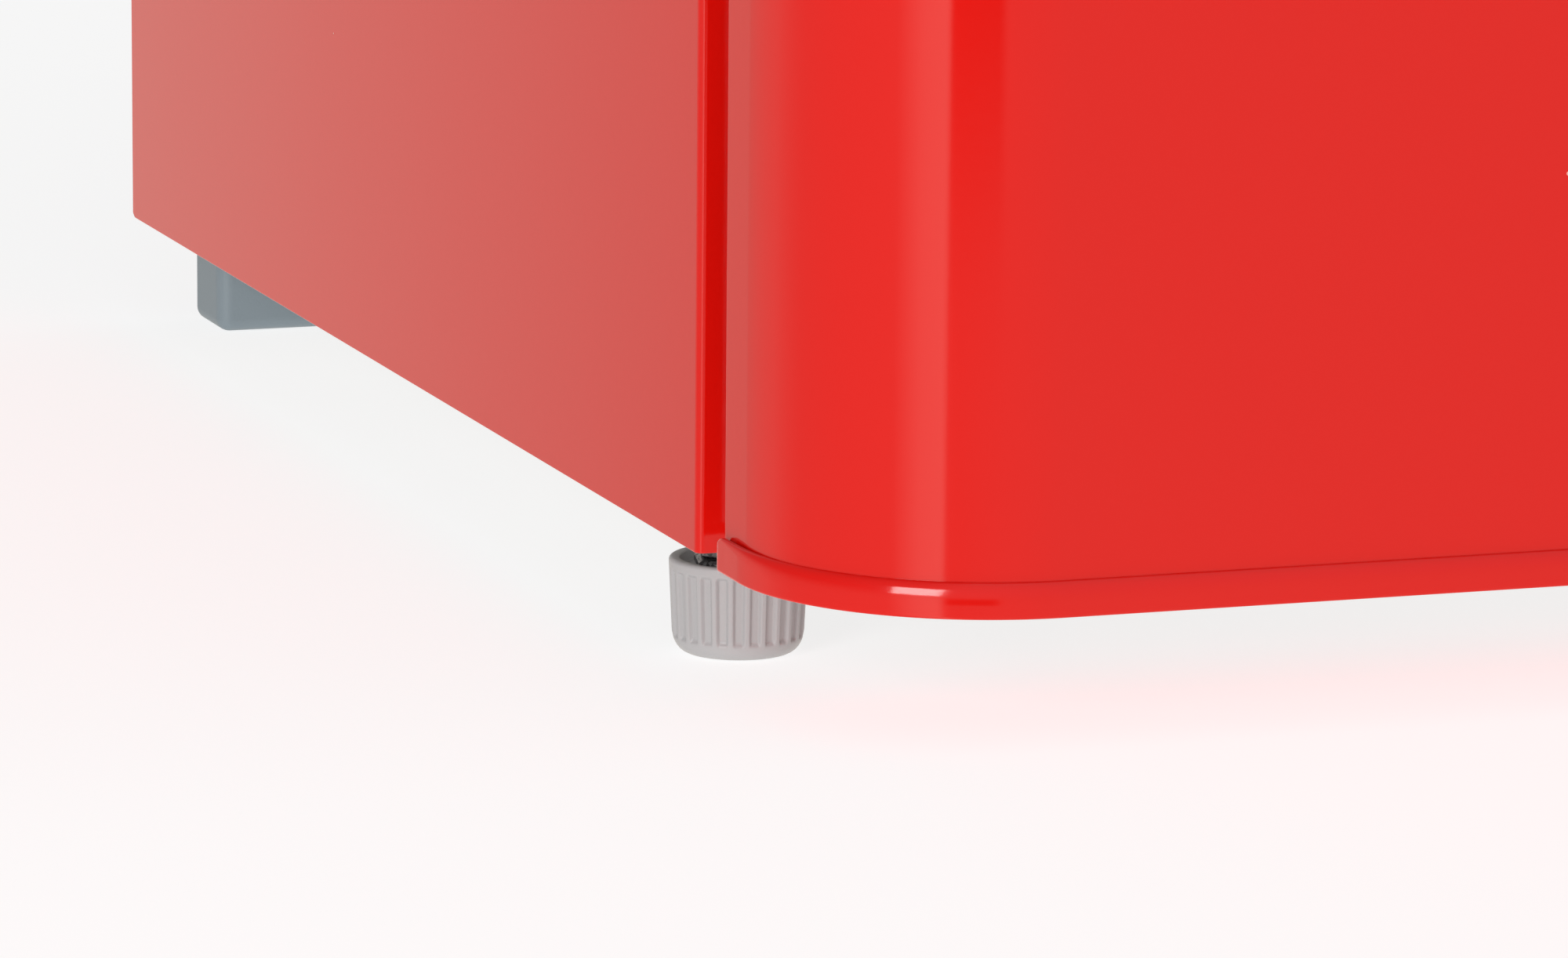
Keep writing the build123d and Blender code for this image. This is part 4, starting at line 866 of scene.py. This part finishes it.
def addLockNuts():
    lo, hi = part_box("lock_nuts")
    studLow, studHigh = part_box("foot_stud_right")
    cx, cy = (studLow.x + studHigh.x) / 2, (studLow.y + studHigh.y) / 2
    shape = Shape()
    for sign in (1, -1):
        shape.add(hexagon((sign * cx, cy), stud["nutFlats"], lo.z, hi.z, math.radians(12)))
    addPiece("lockNutPair", shape, "cabinet", "darkZinc", ["lock_nuts"], 0.15 * mm)


rearFoot = {"width": 42 * mm, "corner": 4.0 * mm, "sole": 3.6 * mm, "flange": 4.0 * mm, "step": 0.6 * mm}


def addRearFeet():
    lo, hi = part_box("rear_feet")
    sole, step, seat = rearFoot["sole"], rearFoot["step"], hi.z - rearFoot["flange"]
    turns = [math.pi / 12 * k for k in range(7)]
    levels = [(sole * (1 - math.sin(a)), sole * (1 - math.cos(a))) for a in turns]
    levels += [(0, seat), (step, seat + step), (step, hi.z)]
    shape = Shape()
    for sign in (1, -1):
        x0, x1 = sorted((sign * hi.x, sign * (hi.x - rearFoot["width"])))
        rings = []
        for inset, z in levels:
            loop = middleLoop(x0 + inset, x1 - inset, lo.y + inset, hi.y - inset,
                              max(rearFoot["corner"] - inset, 0.3 * mm), 8)
            rings.append([(p.x, p.y, z) for p in loop])
        shape.add(loft(rings))
    addPiece("rearFootPair", shape, "cabinet", "rearFoot", ["rear_feet"], sharp=50)


for side in ("Left", "Right"):
    addFootCap(side)
    addFootStud(side)
addLockNuts()
addRearFeet()
print("feet ready")


# door seal and handle

seal = {"radius": 18 * mm, "width": 13.0,    # profile and width in millimetres
        "profile": [(0, 0), (0, 2.2), (0.6, 3), (2.2, 3.4), (3.2, 4.6), (2.2, 5.8), (2.2, 6.6), (0.8, 7.4),
                    (0, 8.4), (0, 10.6), (1.1, 11.7)]}


def uprightLoop(lo, hi, radius, inset, y):
    bend = max(radius - inset, 0.5 * mm)
    loop = middleLoop(lo.x + inset, hi.x - inset, lo.z + inset, hi.z - inset, bend, 10)
    return [(p.x, y, p.y) for p in loop]


def addSeal():
    lo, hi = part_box("door_gasket")
    outer = seal["profile"]
    inner = [(seal["width"] - o, y) for o, y in reversed(outer)]
    stretch = (hi.y - lo.y) / outer[-1][1]
    rings = [uprightLoop(lo, hi, seal["radius"], o * mm, lo.y + y * stretch) for o, y in outer + inner]
    addPiece("doorSealBellows", Shape().add(loft(rings, loop=True)), "door", "seal",
             ["door_gasket"], sharp=60)


handle = {"wide": 12 * mm, "thick": 6.5 * mm, "bow": 12 * mm, "endRound": 5 * mm, "postInset": 26 * mm,
          "post": 9 * mm, "foot": 12 * mm}


def addHandle():
    lo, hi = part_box("handle_bar")
    x, middle, half = (lo.x + hi.x) / 2, (lo.z + hi.z) / 2, (hi.z - lo.z) / 2
    endRound, wide, thick = handle["endRound"], handle["wide"], handle["thick"]
    foot, post = handle["foot"], handle["post"]

    def bowAt(z):
        return lo.y + thick + handle["bow"] * ((z - middle) / half) ** 2

    ends = [endRound * (1 - math.cos(math.pi / 2 * k / 8)) for k in range(9)]
    heights = [lo.z + e for e in ends]
    heights += [lo.z + endRound + (hi.z - lo.z - 2 * endRound) * k / 40 for k in range(1, 40)]
    heights += [hi.z - e for e in reversed(ends)]
    rings = []
    for z in heights:
        near = min(z - lo.z, hi.z - z, endRound) / endRound
        shrink = endRound * (1 - math.sqrt(max(1 - (1 - near) ** 2, 0))) * 0.98
        a, b = wide - shrink, thick - shrink
        centre = min(bowAt(z), hi.y - thick)
        turns = [2 * math.pi * k / 48 for k in range(48)]
        rings.append([(x + a * math.cos(t), centre + b * math.sin(t), z) for t in turns])
    addPiece("handleBow", Shape().add(loft(rings)), "door", "chrome", ["handle_bar"], sharp=60)
    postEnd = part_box("handle_posts")[1].y
    shape = Shape()
    for z in (lo.z + handle["postInset"], hi.z - handle["postInset"]):
        profile = [(foot - 0.8 * mm, 0), (foot, -0.6 * mm), (foot, -1.8 * mm), (foot - 0.9 * mm, -2.8 * mm),
                   (post + 1.2 * mm, -3.2 * mm), (post, -4.6 * mm), (post - 0.4 * mm, -12 * mm),
                   (post - 0.2 * mm, bowAt(z) - postEnd)]
        shape.add(lathe(profile, (x, postEnd, z), 48, "Y"))
    addPiece("handlePostPair", shape, "door", "chrome", ["handle_posts"], sharp=40)


addSeal()
addHandle()
print("seal and handle ready")


# fastenings

hexBolt = {"flats": 8 * mm, "washer": 6.2 * mm, "fromPlateEdge": 10 * mm, "lowerInset": 38 * mm,
           "upper": ((46, 26), (4, 26), (25, 40)), "lower": (20, 58)}    # places in millimetres


def addHexScrews():
    lo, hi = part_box("hex_screws")
    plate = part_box("upper_hinge_bracket")[1]
    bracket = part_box("foot_bracket")[0]
    flats, washer, front, seat = hexBolt["flats"], hexBolt["washer"], panelLow.y, bracket.z
    shape = Shape()
    for dx, dy in hexBolt["upper"]:
        x, y = plate.x - hexBolt["fromPlateEdge"] - dx * mm, front + dy * mm
        shape.add(lathe([(washer - 0.3 * mm, plate.z), (washer, plate.z + 0.4 * mm),
                         (washer - 0.8 * mm, plate.z + 1.2 * mm)], (x, y, 0), 32))
        shape.add(hexagon((x, y), flats, plate.z + 1 * mm, hi.z, 0.4 + dx * 0.1))
    for sign in (-1, 1):
        for dy in hexBolt["lower"]:
            x, y = sign * (-bracket.x - hexBolt["lowerInset"]), front + dy * mm
            shape.add(lathe([(washer - 0.9 * mm, seat - 1.2 * mm), (washer - 0.2 * mm, seat - 0.5 * mm),
                             (washer - 0.2 * mm, seat)], (x, y, 0), 32))
            shape.add(hexagon((x, y), flats, lo.z, seat - 1 * mm, 0.2 + dy * 0.1))
    addPiece("hexScrewSet", shape, "cabinet", "darkZinc", ["hex_screws"], sharp=30)


addHexScrews()
print("fastenings ready")


# inside

knob = {"ridges": 40, "depth": 0.5 * mm, "disc": 5 * mm, "gripWide": 7 * mm, "shaft": 3 * mm,
        "mark": 0.5 * mm}


def addKnob():
    lo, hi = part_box("thermostat_knob")
    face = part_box("control_housing")[0].x - 0.3 * mm
    cy, cz, radius = (lo.y + hi.y) / 2, (lo.z + hi.z) / 2, (hi.z - lo.z) / 2
    disc, wide, mark = knob["disc"], knob["gripWide"] / 2, knob["mark"]
    levels = ((radius - 1.2 * mm, face, 0), (radius, face - 0.8 * mm, 1), (radius, face - 3.6 * mm, 1),
              (radius - 0.9 * mm, face - 4.7 * mm, 0.4), (radius - 2.4 * mm, face - disc, 0),
              (radius - 6 * mm, face - disc + 0.4 * mm, 0))
    rings = []
    for r, x, deep in levels:
        ring = []
        for k in range(240):
            a = 2 * math.pi * k / 240
            grooved = r - knob["depth"] * deep * (0.5 + 0.5 * math.cos(a * knob["ridges"]))
            ring.append((x, cy + grooved * math.cos(a), cz + grooved * math.sin(a)))
        rings.append(ring)
    grip = radius - 2.2 * mm
    shape = Shape().add(loft(rings))
    shape.add(softBox((lo.x, cy - grip, cz - wide), (face - 4 * mm, cy + grip, cz + wide), 2.2 * mm, 5))
    shape.add(softBox((lo.x, cy - radius + 4 * mm, cz - mark), (lo.x + 1 * mm, cy - 3 * mm, cz + mark),
                      0.3 * mm, 2))
    shape.add(lathe([(knob["shaft"], 0), (knob["shaft"], hi.x - face)], (face, cy, cz), 24, "X"))
    addPiece("thermostatDial", shape, "thermostat_knob", "white", ["thermostat_knob"],
             sharp=40)


flap = {"thick": 8 * mm, "panel": 6 * mm, "border": 16 * mm, "pin": 2.5 * mm, "pinReach": 4 * mm, "ribs": 5,
        "ribGapEnd": 14 * mm, "ribGap": 9 * mm, "grip": 45 * mm}


def addIceFlap():
    lo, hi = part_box("icebox_flap")
    back, thick, edge, pin = hi.y, flap["thick"], flap["border"], flap["pin"]
    front = back - thick
    x1 = hi.x - flap["pinReach"]
    axisZ = hi.z - thick / 2
    shape = Shape().add(softBox((-x1, back - flap["panel"], lo.z), (x1, back, axisZ), 1.2 * mm, 3))
    for box0, box1 in (((-x1, lo.z), (x1, lo.z + edge)), ((-x1, axisZ - edge), (x1, axisZ)),
                       ((-x1, lo.z), (-x1 + edge, axisZ)), ((x1 - edge, lo.z), (x1, axisZ))):
        shape.add(softBox((box0[0], front, box0[1]), (box1[0], back - 1.5 * mm, box1[1]), 1.4 * mm, 3))
    low, high = lo.z + edge + flap["ribGap"], axisZ - edge - flap["ribGap"]
    ribEnd = x1 - edge - flap["ribGapEnd"]
    for k in range(flap["ribs"]):
        z = low + (high - low) * k / (flap["ribs"] - 1)
        shape.add(softBox((-ribEnd, front + 1.2 * mm, z - 1.6 * mm),
                          (ribEnd, back - flap["panel"] + 1 * mm, z + 1.6 * mm), 0.7 * mm, 2))
    shape.add(softBox((-flap["grip"], lo.y, lo.z + 8 * mm), (flap["grip"], front + 2 * mm, lo.z + 14 * mm),
                      1.6 * mm, 3))
    axis = (0, back - thick / 2, axisZ)
    shape.add(lathe([(thick / 2, -x1), (thick / 2, x1)], axis, 40, "X"))
    shape.add(lathe([(pin - 0.4 * mm, lo.x), (pin, lo.x + 0.5 * mm), (pin, hi.x - 0.5 * mm),
                     (pin - 0.4 * mm, hi.x)], axis, 24, "X"))
    addPiece("iceBoxFlapMoulded", shape, "icebox_flap", "white", ["icebox_flap"], sharp=40)


tray = {"wall": 2.6 * mm, "corner": 10 * mm, "ribs": 13, "ribPitch": 30 * mm, "gripReach": 12 * mm,
        "gripHalf": 60 * mm, "rimSoft": 0.8 * mm}


def trayRings(lo, hi):
    wall, soft = tray["wall"], tray["rimSoft"]
    floorZ = lo.z + wall
    levels = ((1.6 * mm, lo.z), (0.4 * mm, lo.z + 0.5 * mm), (0, lo.z + 1.6 * mm), (0, hi.z - soft),
              (soft * 0.4, hi.z - soft * 0.3), (wall / 2, hi.z), (wall - soft * 0.3, hi.z - soft * 0.4),
              (wall, hi.z - soft * 1.4), (wall, floorZ + 2.4 * mm), (wall + 0.6 * mm, floorZ + 0.8 * mm),
              (wall + 2.2 * mm, floorZ))
    rings = []
    for inset, z in levels:
        loop = middleLoop(lo.x + inset, hi.x - inset, lo.y + inset, hi.y - inset,
                          max(tray["corner"] - inset, 0.5 * mm), 8)
        rings.append([(p.x, p.y, z) for p in loop])
    return rings


def addDrawer():
    lo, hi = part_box("crisper_drawer")
    front, half = lo.y + tray["gripReach"], tray["gripHalf"]
    shape = Shape().add(loft(trayRings(Vector((lo.x, front, lo.z)), hi)))
    for k in range(tray["ribs"]):
        x = (k - (tray["ribs"] - 1) / 2) * tray["ribPitch"]
        shape.add(softBox((x - 1.1 * mm, front - 0.9 * mm, lo.z + 16 * mm),
                          (x + 1.1 * mm, front + 0.8 * mm, hi.z - 40 * mm), 0.5 * mm, 2))
    shape.add(softBox((-half, lo.y, hi.z - 4 * mm), (half, front + 1.4 * mm, hi.z - 0.4 * mm), 1.1 * mm, 3))
    shape.add(softBox((-half, lo.y, hi.z - 14 * mm), (half, lo.y + 2.5 * mm, hi.z - 1 * mm), 1.1 * mm, 3))
    addPiece("vegetableDrawer", shape, "crisper_drawer", "clear", ["crisper_drawer"],
             sharp=45)


addKnob()
addIceFlap()
addDrawer()
print("inside ready")


# back

backSheet = {"thick": 0.8 * mm, "bead": 1.5 * mm, "beadHalf": 9 * mm, "beadEnd": 14 * mm, "margin": 34 * mm,
             "beadsAt": (-232, -95, 0, 95, 232)}    # millimetres from the middle


def addBackPanel():
    lo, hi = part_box("back_panel")
    half, places = backSheet["beadHalf"], [b * mm for b in backSheet["beadsAt"]]
    low, high, end = lo.z + backSheet["margin"], hi.z - backSheet["margin"], backSheet["beadEnd"]
    xs = sorted({lo.x, hi.x} | {b + half * k / 6 for b in places for k in range(-6, 7)})
    zs = [lo.z] + [low + 2 * mm * k for k in range(8)]
    zs += [high - 2 * mm * k for k in range(7, -1, -1)] + [hi.z]

    def lift(x, z):
        near = min(abs(x - b) for b in places) / half
        rise = 0.5 + 0.5 * math.cos(math.pi * min(near, 1))
        return backSheet["bead"] * rise * smoothStep((z - low) / end) * smoothStep((high - z) / end)

    rings = []
    for z in zs:
        outer = [(x, hi.y + lift(x, z), z) for x in xs]
        rings.append(outer + [(x, y - backSheet["thick"], zz) for x, y, zz in reversed(outer)])
    addPiece("beadedBackPanel", Shape().add(loft(rings)), "cabinet", "zinc", ["back_panel"], sharp=50)


addBackPanel()
print("back ready")


# carried-over pieces keep their shape and get softened edges

# edge widths in millimetres
softEdges = {0.25: ["lower_hinge_bracket", "upper_hinge_bracket", "foot_bracket", "hinge_pins",
                    "handle_screws", "lamp_cover", "light_switch", "light_switch_button", "hinge_bushes"],
             0.5: ["bottle_rack", "middle_rack", "dairy_rack", "dairy_lid", "bottle_stop", "shelf_trims",
                   "icebox_frame", "icebox_hangers", "drain_tube", "start_relay", "drip_tray", "cord_gland"],
             0.9: ["inner_liner", "door_liner", "control_housing"],
             0.3: ["crisper_cover_glass", "middle_shelf_glass", "upper_shelf_glass"]}
for width, names in softEdges.items():
    for nodeName in names:
        roundEdges(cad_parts[nodeName], "softEdge", width * mm, 50)
print("carried-over pieces softened")
